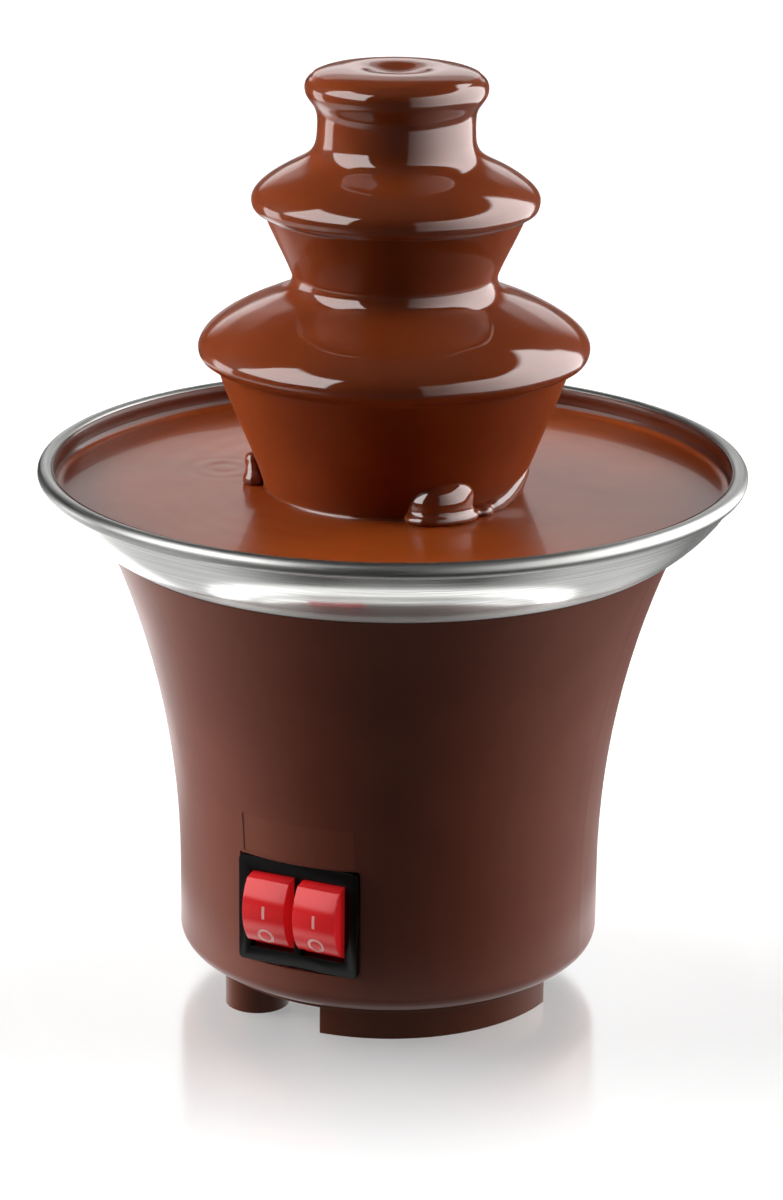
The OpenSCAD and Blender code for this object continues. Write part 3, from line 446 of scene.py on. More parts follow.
def make_drift_group():
    """A slow change of tone over a surface, between two colours."""
    group, start, end = new_group(
        "tone_drift",
        [
            ("Color", "NodeSocketColor", (0.5, 0.5, 0.5, 1.0)),
            ("Other", "NodeSocketColor", (0.4, 0.4, 0.4, 1.0)),
            ("Scale", "NodeSocketFloat", 30.0),
        ],
        [("Color", "NodeSocketColor")],
    )
    where = add(group, "ShaderNodeTexCoord")
    cloud = add(group, "ShaderNodeTexNoise", {"Detail": 4.0, "Roughness": 0.55})
    join(group, where.outputs["Object"], cloud.inputs["Vector"])
    join(group, start.outputs["Scale"], cloud.inputs["Scale"])
    mask = ramp_between(group, cloud.outputs["Fac"], 0.3, 0.7)
    join(group, mix_color(group, mask, start.outputs["Color"], start.outputs["Other"]), end.inputs["Color"])
    return group


GRAIN = make_grain_group()
LINES = make_lines_group()
DRIFT = make_drift_group()
print("groups", [group.name for group in bpy.data.node_groups])

# %% [markdown]
# Each finish is one function call with plain words for its kind. Plastics take the grain, metals the lines.
# The colour of each is written as the screen colour it should have under even light.

# %% Finish helpers
LINE_DEPTH = 0.000004
STREAK_ROUGHNESS = 0.14


def new_finish(name):
    """A material with an empty Principled shader, ready for its nodes."""
    finish = bpy.data.materials.new(name)
    finish.use_nodes = True
    tree = finish.node_tree
    tree.nodes.clear()
    output = add(tree, "ShaderNodeOutputMaterial")
    shader = add(tree, "ShaderNodeBsdfPrincipled")
    join(tree, shader.outputs[0], output.inputs[0])
    return finish, tree, shader


def use(tree, group, **inputs):
    """A group placed in a material, with its own values."""
    made = tree.nodes.new("ShaderNodeGroup")
    made.node_tree = group
    for key, value in inputs.items():
        made.inputs[key].default_value = value
    return made


def bump(tree, shader, height, strength, depth):
    made = add(tree, "ShaderNodeBump", {"Strength": strength, "Distance": depth})
    join(tree, height, made.inputs["Height"])
    join(tree, made.outputs[0], shader.inputs["Normal"])


def shader_of(finish):
    """A finish's node tree and its Principled shader, for adding to it."""
    tree = finish.node_tree
    return tree, next(node for node in tree.nodes if node.type == "BSDF_PRINCIPLED")


def source_of(socket):
    """The output that a linked socket takes its value from."""
    return socket.links[0].from_socket


def plastic(name, color, other, roughness, grain=2500.0, depth=0.00002, strength=0.25, gloss=0.5):
    """A moulded plastic: two close tones, a fine grain and a slightly uneven gloss."""
    finish, tree, shader = new_finish(name)
    tone = use(tree, DRIFT, Color=rgb(color), Other=rgb(other), Scale=22.0)
    join(tree, tone.outputs["Color"], shader.inputs["Base Color"])
    skin = use(tree, GRAIN, Scale=grain, Spread=0.12)
    join(tree, plus(tree, skin.outputs["Roughness"], roughness), shader.inputs["Roughness"])
    bump(tree, shader, skin.outputs["Height"], strength, depth)
    shader.inputs["Specular IOR Level"].default_value = gloss
    return finish


def metal(name, color, other, roughness, density=2200.0, strength=0.3):
    """A turned or rolled metal: lines round the axis that change its gloss and tone a little."""
    finish, tree, shader = new_finish(name)
    lines = use(tree, LINES, Density=density, Breaks=2.0)
    tone = mix_color(tree, lines.outputs["Streak"], rgb(color), rgb(other))
    join(tree, tone, shader.inputs["Base Color"])
    shader.inputs["Metallic"].default_value = 1.0
    gloss = times(tree, lines.outputs["Streak"], STREAK_ROUGHNESS)
    join(tree, plus(tree, gloss, roughness), shader.inputs["Roughness"])
    bump(tree, shader, lines.outputs["Height"], strength, LINE_DEPTH)
    return finish


print("finish helpers ready")

# %% [markdown]
# The finishes, one for each material slot of the frame. Wet chocolate is made apart, because it is the star:
# a brown body that lets a little light in, under a thin clear film that gives the sharp reflections.

# %% Finishes of the carried-over nodes
FINISHES = {
    "cover_plastic": plastic("cover_plastic", "#64331f", "#5a2c1a", 0.38, grain=1500.0, gloss=0.1),
    "plated_steel": metal("plated_steel", "#b9bcc0", "#a3a6aa", 0.28),
    "heat_aluminium": metal("heat_aluminium", "#c9cbcc", "#b4b6b8", 0.38, density=900.0),
    "cast_metal": metal("cast_metal", "#8f9295", "#7d8083", 0.48, density=300.0, strength=0.5),
    "mica": plastic("mica", "#b59a6c", "#9c8156", 0.55, grain=600.0, strength=0.4),
    "brass": metal("brass", "#c9a24d", "#b48f42", 0.3),
    "black_plastic": plastic("black_plastic", "#100e0d", "#0c0b0a", 0.2, grain=2200.0, gloss=0.14),
    "white_plastic": plastic("white_plastic", "#d9d4c6", "#cfc9b9", 0.42),
    "food_plastic": plastic("food_plastic", "#cfccc3", "#c4c0b5", 0.33, grain=1800.0),
    "silicone": plastic("silicone", "#b5473a", "#a83f33", 0.5, grain=1400.0),
    "rubber": plastic("rubber", "#211f1e", "#1a1817", 0.62, grain=900.0, strength=0.4),
    "wire_brown": plastic("wire_brown", "#6d3b1c", "#633517", 0.4),
    "wire_black": plastic("wire_black", "#1b1b1b", "#141414", 0.4),
    "wire_blue": plastic("wire_blue", "#1e3f9b", "#1a3788", 0.4),
    "wire_red": plastic("wire_red", "#a31f1a", "#921a16", 0.4),
}


SEAT_HALF = 14.5
SEAT_Z = (46.75, 56.55)
SEAT_EDGE = 0.1
SEAT_TONE = 0.3
SEAT_GLOSS = 0.06


def make_housing():
    """Satin brown plastic. The flat seat over the switch is a little paler and smoother."""
    finish = plastic("housing_plastic", "#7a4130", "#70392a", 0.38, grain=1500.0, depth=0.00003, gloss=0.21)
    tree, shader = shader_of(finish)
    axes = object_axes(tree)
    across = band(tree, axes["X"], -SEAT_HALF * MM, SEAT_HALF * MM, SEAT_EDGE * MM)
    upward = band(tree, axes["Z"], SEAT_Z[0] * MM, SEAT_Z[1] * MM, SEAT_EDGE * MM)
    front = math_node(tree, "LESS_THAN", axes["Y"], 0.0)
    seat = times(tree, times(tree, across, upward), front)
    brown = source_of(shader.inputs["Base Color"])
    paler = mix_color(tree, times(tree, seat, SEAT_TONE), brown, rgb("#8a4d39"))
    join(tree, paler, shader.inputs["Base Color"])
    rough = source_of(shader.inputs["Roughness"])
    smoother = math_node(tree, "SUBTRACT", rough, times(tree, seat, SEAT_GLOSS))
    join(tree, smoother, shader.inputs["Roughness"])
    return finish


FINISHES["housing_plastic"] = make_housing()

RIM_R = 80.4
RIM_Z = 128.2
RIM_EDGE = 0.3
RIM_ROUGHER = 0.24
DISH_Z = 114.5
DISH_FADE = 3.0
DISH_ROUGHER = 0.3


def make_bowl_steel():
    """Spun steel. Its lines run round the axis, so they spread each reflection up and down.

    The rolled rim and the bottom of the dish, which the wheel does not reach, are softer.
    """
    finish = metal("polished_steel", "#d3d3d1", "#bdbdba", 0.08, strength=0.2)
    tree, shader = shader_of(finish)
    shader.inputs["Anisotropic"].default_value = 0.35
    shader.inputs["Anisotropic Rotation"].default_value = 0.25
    along = add(tree, "ShaderNodeTangent", direction_type="RADIAL", axis="Z")
    join(tree, along.outputs[0], shader.inputs["Tangent"])
    axes = object_axes(tree)
    outer = ramp_between(tree, from_axis(tree, axes), (RIM_R - RIM_EDGE) * MM, (RIM_R + RIM_EDGE) * MM)
    upper = ramp_between(tree, axes["Z"], (RIM_Z - RIM_EDGE) * MM, (RIM_Z + RIM_EDGE) * MM)
    rim = times(tree, outer, upper)
    bright = source_of(shader.inputs["Base Color"])
    join(tree, mix_color(tree, rim, bright, rgb("#a2a2a0")), shader.inputs["Base Color"])
    rough = source_of(shader.inputs["Roughness"])
    below = ramp_between(tree, axes["Z"], DISH_Z * MM, (DISH_Z + DISH_FADE) * MM, 1.0, 0.0)
    softer = plus(tree, rough, times(tree, rim, RIM_ROUGHER), times(tree, below, DISH_ROUGHER))
    join(tree, softer, shader.inputs["Roughness"])
    return finish


FINISHES["polished_steel"] = make_bowl_steel()

ROCKER_X = 6.6
BAR_Z = 34.1
BAR_HALF = (0.35, 1.6)
RING_Z = 27.6
RING_BAND = (1.42, 2.1)
INK_EDGE = 0.05
ROCKER_ROUGHNESS = 0.22


def make_rocker_red():
    """Red plastic with the usual bar and ring of a switch printed on it in pale ink. Its emission is a
    painted glow that makes it look brightly lit.
    """
    finish, tree, shader = new_finish("red_plastic")
    axes = object_axes(tree)
    across = math_node(tree, "SUBTRACT", math_node(tree, "ABSOLUTE", axes["X"]), ROCKER_X * MM)
    from_bar = math_node(tree, "SUBTRACT", axes["Z"], BAR_Z * MM)
    marks = []
    for value, half in zip((across, from_bar), BAR_HALF):
        off = math_node(tree, "ABSOLUTE", value)
        marks.append(ramp_between(tree, off, (half - INK_EDGE) * MM, (half + INK_EDGE) * MM, 1.0, 0.0))
    bar = times(tree, *marks)
    from_ring = math_node(tree, "SUBTRACT", axes["Z"], RING_Z * MM)
    squares = plus(tree, times(tree, across, across), times(tree, from_ring, from_ring))
    ring = band(tree, math_node(tree, "SQRT", squares), RING_BAND[0] * MM, RING_BAND[1] * MM, INK_EDGE * MM)
    ink = math_node(tree, "MAXIMUM", bar, ring)
    tone = use(tree, DRIFT, Color=rgb("#e32427"), Other=rgb("#d51d21"), Scale=40.0)
    join(tree, mix_color(tree, ink, tone.outputs["Color"], rgb("#f6c2ba")), shader.inputs["Base Color"])
    skin = use(tree, GRAIN, Scale=2600.0, Spread=0.1)
    join(tree, plus(tree, skin.outputs["Roughness"], ROCKER_ROUGHNESS), shader.inputs["Roughness"])
    shader.inputs["Specular IOR Level"].default_value = 0.4
    # Painted glow: the rockers emit a dim red light, though they are no lamp, so that they read as brightly
    # lit.
    join(tree, mix_color(tree, ink, rgb("#8c1013"), rgb("#7a3a38")), shader.inputs["Emission Color"])
    shader.inputs["Emission Strength"].default_value = 0.65
    bump(tree, shader, skin.outputs["Height"], 0.2, 0.00002)
    return finish


FINISHES["red_plastic"] = make_rocker_red()


def falling_part(node, landing, lip_drop):
    """The heights between which a fall hangs free: over its landing and under its lip, in metres."""
    low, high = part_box(node)
    return low.z + landing * MM, high.z - lip_drop * MM


CURTAINS = (
    falling_part("chocolate_upper_fall", 3.0, 15.6),
    falling_part("chocolate_lower_fall", 0.5, 21.4),
)
BROWN = ("#8a3e1c", "#813818")
# Painted light: the pool's chocolate is given a lighter brown than the tower's, standing in for the light it
# catches.
POOL_LIT_BROWN = ("#9e4719", "#914016")
FILM_INDEX = 2.2
POOL_INDEX = 1.5
POOL_WET = 0.16
WALL_WET = 0.3
BODY_ROUGHNESS = 0.3
SHEET_ROUGHNESS = 0.45
SHEET_WET = 0.2


def make_chocolate(name, colors, streak_scale, gloss, wet, film_index, curtains=()):
    """Melted chocolate: a warm body under a clear film, with faint flow marks. Falling sheets are duller."""
    finish, tree, shader = new_finish(name)
    tone = use(tree, DRIFT, Color=rgb(colors[0]), Other=rgb(colors[1]), Scale=38.0)
    join(tree, tone.outputs["Color"], shader.inputs["Base Color"])
    shader.inputs["Specular IOR Level"].default_value = gloss
    shader.inputs["Subsurface Weight"].default_value = 0.12
    shader.inputs["Subsurface Radius"].default_value = (0.0032, 0.0011, 0.0004)
    shader.inputs["Subsurface Scale"].default_value = 1.0
    shader.inputs["Coat Roughness"].default_value = 0.015
    shader.inputs["Coat IOR"].default_value = film_index
    shader.inputs["Coat Weight"].default_value = wet
    shader.inputs["Roughness"].default_value = BODY_ROUGHNESS
    if curtains:
        upward = object_axes(tree)["Z"]
        falling = plus(tree, *(band(tree, upward, *part, 0.5 * MM) for part in curtains))
        less_wet = ramp_between(tree, falling, 0.0, 1.0, wet, SHEET_WET * wet)
        join(tree, less_wet, shader.inputs["Coat Weight"])
        duller = ramp_between(tree, falling, 0.0, 1.0, BODY_ROUGHNESS, SHEET_ROUGHNESS)
        join(tree, duller, shader.inputs["Roughness"])
    where = add(tree, "ShaderNodeTexCoord")
    stretch = add(tree, "ShaderNodeMapping")
    stretch.inputs["Scale"].default_value = streak_scale
    join(tree, where.outputs["Object"], stretch.inputs["Vector"])
    flow = add(tree, "ShaderNodeTexNoise", {"Scale": 1.0, "Detail": 2.0})
    join(tree, stretch.outputs[0], flow.inputs["Vector"])
    bump(tree, shader, flow.outputs["Fac"], 0.18, 0.0008)
    return finish


FINISHES["chocolate"] = make_chocolate("chocolate", BROWN, (90, 90, 14), 0.03, 0.5, FILM_INDEX, CURTAINS)
SPLASH_FINISH = make_chocolate("chocolate_splash", BROWN, (60, 60, 60), 0.03, 0.6, FILM_INDEX)


def make_pool_finish():
    """The pool's chocolate. The thin film that it leaves on the bowl's wall is painted darker, as painted
    shade.
    """
    finish = make_chocolate("chocolate_pool", POOL_LIT_BROWN, (45, 45, 45), 0.1, POOL_WET, POOL_INDEX)
    tree, shader = shader_of(finish)
    _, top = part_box("chocolate_pool")
    film_with_painted_shade = ramp_between(tree, object_axes(tree)["Z"], top.z + 0.3 * MM, top.z + 1.2 * MM)
    brown = source_of(shader.inputs["Base Color"])
    # Painted shade: the film on the wall gets a darker brown, standing in for the shadow it lies in.
    join(tree, mix_color(tree, film_with_painted_shade, brown, rgb("#5c2814")), shader.inputs["Base Color"])
    join(tree, ramp_between(tree, film_with_painted_shade, 0.0, 1.0, POOL_WET, WALL_WET), shader.inputs["Coat Weight"])
    return finish


POOL_FINISH = make_pool_finish()

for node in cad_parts.values():
    slot = node.data.materials[0].name
    node.data.materials[0] = FINISHES[slot]
print("finishes", len(FINISHES), "on", len(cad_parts), "nodes")

# %% [markdown]
# Most of the fountain is turned about one axis, so most new pieces are lathe work.
# By hand that is: draw half the section as a chain of edges, then spin it once round the Z axis.
# The ring where the spin meets itself is merged, and the normals are made to agree.

# %% Lathe
def clear_selection():
    if bpy.context.mode != "OBJECT":
        bpy.ops.object.mode_set(mode="OBJECT")
    bpy.ops.object.select_all(action="DESELECT")


def curve(p, a, b, q, count):
    """Points of one smooth bend from p to q, starting towards a and arriving from b. q is left out."""
    points = []
    for i in range(count):
        t = i / count
        s = 1 - t
        weights = (s * s * s, 3 * s * s * t, 3 * s * t * t, t * t * t)
        points.append(tuple(sum(w * k[axis] for w, k in zip(weights, (p, a, b, q))) for axis in (0, 1)))
    return points


def arc(center, radius, start, end, count):
    """Points of a round stretch, with angles in degrees. The last point is left out."""
    points = []
    for i in range(count):
        angle = math.radians(start + (end - start) * i / count)
        points.append((center[0] + radius * math.cos(angle), center[1] + radius * math.sin(angle)))
    return points


def lathe(name, section, steps):
    """Draws a half section, given in millimetres as radius and height, and spins it round the axis."""
    clear_selection()
    start = section[0]
    bpy.ops.mesh.primitive_plane_add(size=MM, location=(start[0] * MM, 0, start[1] * MM))
    piece = bpy.context.object
    piece.name = name
    bpy.ops.object.transform_apply(location=True, rotation=True, scale=True)
    bpy.ops.object.mode_set(mode="EDIT")
    bpy.ops.mesh.select_all(action="SELECT")
    bpy.ops.mesh.merge(type="CENTER")
    for here, there in zip(section, section[1:]):
        step = ((there[0] - here[0]) * MM, 0, (there[1] - here[1]) * MM)
        bpy.ops.mesh.extrude_vertices_move(TRANSFORM_OT_translate={"value": step})
    bpy.ops.mesh.select_all(action="SELECT")
    bpy.ops.mesh.spin(steps=steps, angle=TURN, center=(0, 0, 0), axis=(0, 0, 1))
    bpy.ops.mesh.select_all(action="SELECT")
    bpy.ops.mesh.remove_doubles(threshold=0.01 * MM)
    bpy.ops.mesh.normals_make_consistent(inside=False)
    bpy.ops.object.mode_set(mode="OBJECT")
    bpy.ops.object.shade_smooth()
    return piece


def radius_and_heights(node):
    """A turned node's outer radius, bottom and top, in millimetres."""
    low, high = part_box(node)
    return high.x / MM, low.z / MM, high.z / MM


CROWN_R, _, CROWN_TOP_Z = radius_and_heights("chocolate_crown")
UPPER_R, UPPER_END_Z, UPPER_TOP_Z = radius_and_heights("chocolate_upper_fall")
LOWER_R, LOWER_END_Z, LOWER_TOP_Z = radius_and_heights("chocolate_lower_fall")
POOL_R, POOL_FLOOR_Z, POOL_Z = radius_and_heights("chocolate_pool")
print("tiers reach", round(CROWN_R, 1), round(UPPER_R, 1), round(LOWER_R, 1), "mm from the axis")

# %% [markdown]
# The chocolate on the tower is one unbroken skin. It wells up at the crown, runs down the neck, spreads over
# each tier and drops from its lip as a thin curtain. Where it lands it turns outward in a tight fillet.
# Under each lip there is a crease, where the curtain starts behind the rounded edge.
# A lathe section made of a few bends holds all of that, and one piece shows no seam between the tiers.

# %% Chocolate on the tower
LOWER_RISE = 16.6
UPPER_RISE = 11.8
CROWN_DROP = 4.9
COAT = 2.4
SKIRT = 1.6
CURTAIN = 2.3
NECK_R = 18.9
LOWER_TUBE_R = 15.65
UPPER_TUBE_R = 14.85
CROWN_TUBE_R = 14.05
lower_lip_z = LOWER_TOP_Z - LOWER_RISE
upper_lip_z = UPPER_TOP_Z - UPPER_RISE
crown_lip_z = CROWN_TOP_Z - CROWN_DROP
_, _, TUBE_TOP_Z = radius_and_heights("tower_tube")


def uneven(piece, name, size, depth, calm_z):
    """Slow, shallow dents over a skin. They only press inward, and over calm_z they are a fifth as deep."""
    share = piece.vertex_groups.new(name=name)
    for vertex in piece.data.vertices:
        share.add([vertex.index], 0.2 if vertex.co.z > calm_z * MM else 1.0, "REPLACE")
    clouds = bpy.data.textures.new(name, "CLOUDS")
    clouds.noise_scale = size * MM
    clouds.noise_depth = 1
    dents = piece.modifiers.new(name, "DISPLACE")
    dents.texture = clouds
    dents.texture_coords = "LOCAL"
    dents.vertex_group = name
    dents.strength = depth * MM
    dents.mid_level = 1.0
    bpy.ops.object.modifier_apply(modifier=name)


def tier_bend(hub_r, top_z, lip_r, lip_z):
    """The four knots of a tier's rounded shoulder."""
    wide = lip_r - hub_r
    tall = top_z - lip_z
    start_towards = (hub_r + 0.4 * wide, top_z - 0.2 * tall)
    arrive_from = (lip_r, lip_z + 0.37 * tall)
    return (hub_r, top_z), start_towards, arrive_from, (lip_r, lip_z)


def tier_from(hub_r, top_z, lip_r, lip_z, skip, count):
    """A shoulder's points from the given share of its length outwards."""
    whole = curve(*tier_bend(hub_r, top_z, lip_r, lip_z), count)
    return [point for index, point in enumerate(whole) if index >= skip * count]


def curtain_under(lip_r, lip_z, hang_r, hang_z, end_r, end_z):
    """The rolled lip, its crease, and the curtain that narrows as it falls."""
    roll_in = lip_r - hang_r
    roll = curve((lip_r, lip_z), (lip_r, lip_z - 0.62 * (lip_z - hang_z)),
                 (hang_r + 0.7 * roll_in, hang_z - 0.1), (hang_r, hang_z), 14)
    drop = hang_z - end_z
    narrow = hang_r - end_r
    fall = curve((hang_r, hang_z), (hang_r - 0.12 * narrow, hang_z - 0.2 * drop),
                 (end_r + 0.2 * narrow, end_z + 0.25 * drop), (end_r, end_z), 18)
    return roll + fall


upper_skin = tier_from(UPPER_TUBE_R, UPPER_TOP_Z, UPPER_R, upper_lip_z, 0.4, 30)
lower_skin = tier_from(LOWER_TUBE_R, LOWER_TOP_Z, LOWER_R, lower_lip_z, 0.3, 36)
upper_land = (24.7, UPPER_END_Z + 3.0)
lower_land = (31.2, LOWER_END_Z + 0.5)
dimple_edge = (8.6, CROWN_TOP_Z - 0.1)
crown_edge = (13.2, CROWN_TOP_Z - 0.15)
crown = (
    curve((0, CROWN_TOP_Z - 1.7), (4.2, CROWN_TOP_Z - 1.6), (5.6, CROWN_TOP_Z - 0.35), dimple_edge, 18)
    + curve(dimple_edge, (10.4, CROWN_TOP_Z), (11.8, CROWN_TOP_Z), crown_edge, 12)
    + curve(crown_edge, (17.4, CROWN_TOP_Z - 0.55), (CROWN_R, crown_lip_z + 3.4),
            (CROWN_R, crown_lip_z), 18)
    + curve((CROWN_R, crown_lip_z), (CROWN_R, crown_lip_z - 3.0), (NECK_R + 0.2, crown_lip_z - 3.6),
            (NECK_R, crown_lip_z - 7.0), 12)
)
first_upper = upper_skin[0]
first_lower = lower_skin[0]
neck = curve((NECK_R, crown_lip_z - 7.0), (NECK_R - 0.1, crown_lip_z - 9.0), (NECK_R, crown_lip_z - 10.0),
             (NECK_R, crown_lip_z - 10.5), 4)
neck += curve((NECK_R, crown_lip_z - 10.5), (NECK_R, first_upper[1] + 3.6),
              (first_upper[0] - 4.4, first_upper[1] + 2.1), first_upper, 12)
upper_curtain = curtain_under(UPPER_R, upper_lip_z, UPPER_R - 3.1, upper_lip_z - 3.2, *upper_land)
landing = curve(upper_land, (upper_land[0] - 0.6, upper_land[1] - 2.2),
                (first_lower[0] - 2.4, first_lower[1] + 0.9), first_lower, 10)
lower_curtain = curtain_under(LOWER_R, lower_lip_z, LOWER_R - 4.3, lower_lip_z - 3.4, *lower_land)
FOOT_R = 31.7
foot = curve(lower_land, (lower_land[0] - 0.1, lower_land[1] - 0.5), (FOOT_R - 0.4, LOWER_END_Z),
             (FOOT_R, LOWER_END_Z - 0.25), 8)
inner_foot_r = lower_land[0] - CURTAIN
inside = [
    (FOOT_R, LOWER_END_Z - 0.25),
    (inner_foot_r, LOWER_END_Z - 0.25),
    (LOWER_R - 4.6 - CURTAIN - 2.0, lower_lip_z - 14.0),
    (LOWER_R - 4.6 - CURTAIN, lower_lip_z - 5.6),
    (LOWER_R - COAT - SKIRT, lower_lip_z),
]
under_skirt = curve(*tier_bend(LOWER_TUBE_R, LOWER_TOP_Z - COAT, LOWER_R - COAT, lower_lip_z), 14)
inside += [(LOWER_R - COAT, lower_lip_z)] + under_skirt[::-1]
inside += [
    (LOWER_TUBE_R, upper_lip_z + 1.8),
    (UPPER_TUBE_R, upper_lip_z + 1.8),
    (UPPER_TUBE_R, crown_lip_z - 12.4),
    (CROWN_TUBE_R, crown_lip_z - 12.4),
    (CROWN_TUBE_R, TUBE_TOP_Z + 0.1),
    (0, TUBE_TOP_Z + 0.1),
]
section = crown + neck + upper_skin + upper_curtain + landing + lower_skin + lower_curtain + foot + inside
tower_coat = lathe("tower_chocolate", section, 224)
uneven(tower_coat, "flow_dents", 15.0, 0.4, crown_lip_z + 3.0)
tower_coat.data.materials.append(FINISHES["chocolate"])
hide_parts("chocolate_crown", "chocolate_upper_fall", "chocolate_lower_fall")
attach(tower_coat, "tower")
print("tower chocolate", len(section), "section points,", len(tower_coat.data.polygons), "faces")

# %% [markdown]
# The pool fills the bowl to a few millimetres under the rim, and climbs the steel as a thin film.
# It is the same lathe. Its top has many rows of points, so that it can carry the ripples of the next step.

# %% Chocolate pool
BOWL_ARC_R = 40.0
SHEET = 0.8
FILM = 0.35
BOWL_DEPTH = 22.2
RIM_INSET = 0.95
RIM_BEAD_R = 1.9
POOL_WIDTH = 59.0
POOL_CLIMB = 0.9
FILM_CLIMB = 1.9
WELL_EDGE_R = 29.0
bowl_low, bowl_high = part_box("bowl")
BOWL_FLOOR_Z = bowl_low.z / MM
arc_reach = math.sqrt(BOWL_ARC_R ** 2 - (BOWL_ARC_R - BOWL_DEPTH) ** 2)
wall_center = (bowl_high.x / MM - RIM_INSET - arc_reach, BOWL_FLOOR_Z + BOWL_ARC_R)
inner_r = BOWL_ARC_R - SHEET - 0.1
film_r = inner_r - FILM


def wall_angle(z, radius):
    """The angle on the bowl's curved wall at a height, in degrees."""
    return math.degrees(math.asin((z - wall_center[1]) / radius))


film_top_z = POOL_Z + FILM_CLIMB
edge_z = POOL_Z + POOL_CLIMB
edge_angle = wall_angle(edge_z, film_r)
edge_r = wall_center[0] + math.cos(math.radians(edge_angle)) * film_r
bead = (bowl_high.x / MM - RIM_BEAD_R, bowl_high.z / MM - RIM_BEAD_R)
well_r = POOL_R - POOL_WIDTH
well_z = POOL_FLOOR_Z + 0.05
section = [(well_r, well_z), (wall_center[0], well_z)]
section += arc(wall_center, inner_r, -89.9, wall_angle(film_top_z, inner_r), 24)
section += arc(bead, 1.7, 215, 140, 8)
section += arc(bead, RIM_BEAD_R + FILM, 140, 205, 9)
section += arc(wall_center, film_r, wall_angle(film_top_z - 0.3, film_r), edge_angle, 5)
far_r = edge_r - 2.2
section += curve((edge_r, edge_z), (edge_r - 0.5, POOL_Z + 0.25), (edge_r - 1.2, POOL_Z), (far_r, POOL_Z), 7)
flat_count = 24
wavy_count = 84
wavy_r = 62.0
section += [(far_r + (wavy_r - far_r) * i / flat_count, POOL_Z) for i in range(flat_count)]
section += [(wavy_r + (WELL_EDGE_R - wavy_r) * i / wavy_count, POOL_Z) for i in range(wavy_count)]
section += curve((WELL_EDGE_R, POOL_Z), (26.0, POOL_Z - 0.2), (23.5, POOL_Z - 7.0), (well_r, well_z), 10)
section.append((well_r, well_z))
pool = lathe("pool_chocolate", section, 240)
pool.data.materials.append(POOL_FINISH)
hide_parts("chocolate_pool")
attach(pool, "base")
print("pool", len(section), "section points,", len(pool.data.polygons), "faces")

# %% [markdown]
# Ripples run over the pool from two places: wide faint ones from the curtain, strongest on its left, and
# a small set round the drops that fall beside it. A Displace modifier with a texture of rings lifts the
# surface, and an empty gives the rings their middle and their size. A vertex group says how much of them
# each part takes, so the steel side of the pool and its far rim stay still.

# %% Ripples
SPLASH_SIDE = math.radians(-81)
RIPPLE_AT = (-42.2, -6.6)
RINGS_PER_UNIT = 20 / TURN


def surface_weights(piece, name, weight_at):
    """A vertex group over the pool's top, with weights from each point's place in millimetres."""
    group = piece.vertex_groups.new(name=name)
    for vertex in piece.data.vertices:
        x, y, z = (value / MM for value in vertex.co)
        if abs(z - POOL_Z) < 0.01:
            group.add([vertex.index], max(0.0, min(1.0, weight_at(x, y))), "REPLACE")


def wide_weight(x, y):
    """Full beside the drops, a quarter elsewhere, and nothing at the rim."""
    r = math.hypot(x, y)
    beside = 0.5 + 0.5 * math.cos(math.atan2(x, -y) - SPLASH_SIDE)
    return (0.22 + 0.78 * beside ** 3) * (1 - max(0.0, r - 52) / 24)


def near_weight(x, y):
    """Full at the drops and nothing 15 mm away from them."""
    return 1 - math.hypot(x - RIPPLE_AT[0], y - RIPPLE_AT[1]) / 15


def ripples(piece, name, center, height, length):
    """Rings of a given height and length round a center, in millimetres. The vertex group fades them."""
    rings = bpy.data.textures.new(name, "WOOD")
    rings.wood_type = "RINGS"
    rings.noise_basis_2 = "SIN"
    bpy.ops.object.empty_add(location=(center[0] * MM, center[1] * MM, POOL_Z * MM))
    source = bpy.context.object
    source.scale = (length * MM * RINGS_PER_UNIT,) * 3
    clear_selection()
    piece.select_set(True)
    bpy.context.view_layer.objects.active = piece
    lift = piece.modifiers.new(name, "DISPLACE")
    lift.texture = rings
    lift.texture_coords = "OBJECT"
    lift.texture_coords_object = source
    lift.vertex_group = name
    lift.direction = "Z"
    lift.strength = height * MM
    bpy.ops.object.modifier_apply(modifier=name)
    bpy.data.objects.remove(source)


clear_selection()
pool.select_set(True)
bpy.context.view_layer.objects.active = pool
surface_weights(pool, "wide_rings", wide_weight)
surface_weights(pool, "drop_rings", near_weight)
ripples(pool, "wide_rings", (0, 0), 0.05, 7.5)
ripples(pool, "drop_rings", RIPPLE_AT, 0.11, 5.0)
top = max(vertex.co.z for vertex in pool.data.vertices) / MM
print("ripples up to", round(top - POOL_Z, 2), "mm over the pool, film included")

# %% [markdown]
# Where the curtain meets the pool the chocolate piles up before it sinks in. There is a thick pile in
# front, a thin fold that climbs the curtain on the right, and stacked drops on the left.
# Such shapes have no section to spin. Each is put together from pressed balls that overlap,
# and a voxel remesh welds them into one skin. A smooth modifier then pulls the joints into fillets.

# %% Splash at the curtain's foot
FRONT_PILE = (
    (46, 31.2, 129.9, (8.0, 5.6, 6.0)),
    (50, 31.0, 131.2, (6.2, 5.0, 5.2)),
    (46, 32.0, 126.9, (9.4, 6.0, 2.4)),
    (66, 32.4, 126.6, (2.8, 2.6, 1.8)),
)
FOLD_STEPS = 18
LEFT_DROPS = (
    (-64, 33.4, 127.0, (3.2, 2.8, 2.6)),
    (-65, 33.5, 129.2, (2.2, 1.9, 2.4)),
    (-67, 33.8, 131.4, (2.4, 2.0, 2.2)),
)
SPLASH_VOXEL = 0.45 * MM


def fold_ball(share):
    """One ball of the right fold, which rises and thins as share goes from 0 to 1."""
    size = (2.8 - 1.4 * share, 2.6 - 1.2 * share, 2.4)
    return 74 + 29 * share, 30.9 + 1.1 * share ** 2, 126.6 + 5.0 * share ** 1.4, size


RIGHT_FOLD = tuple(fold_ball(step / (FOLD_STEPS - 1)) for step in range(FOLD_STEPS))


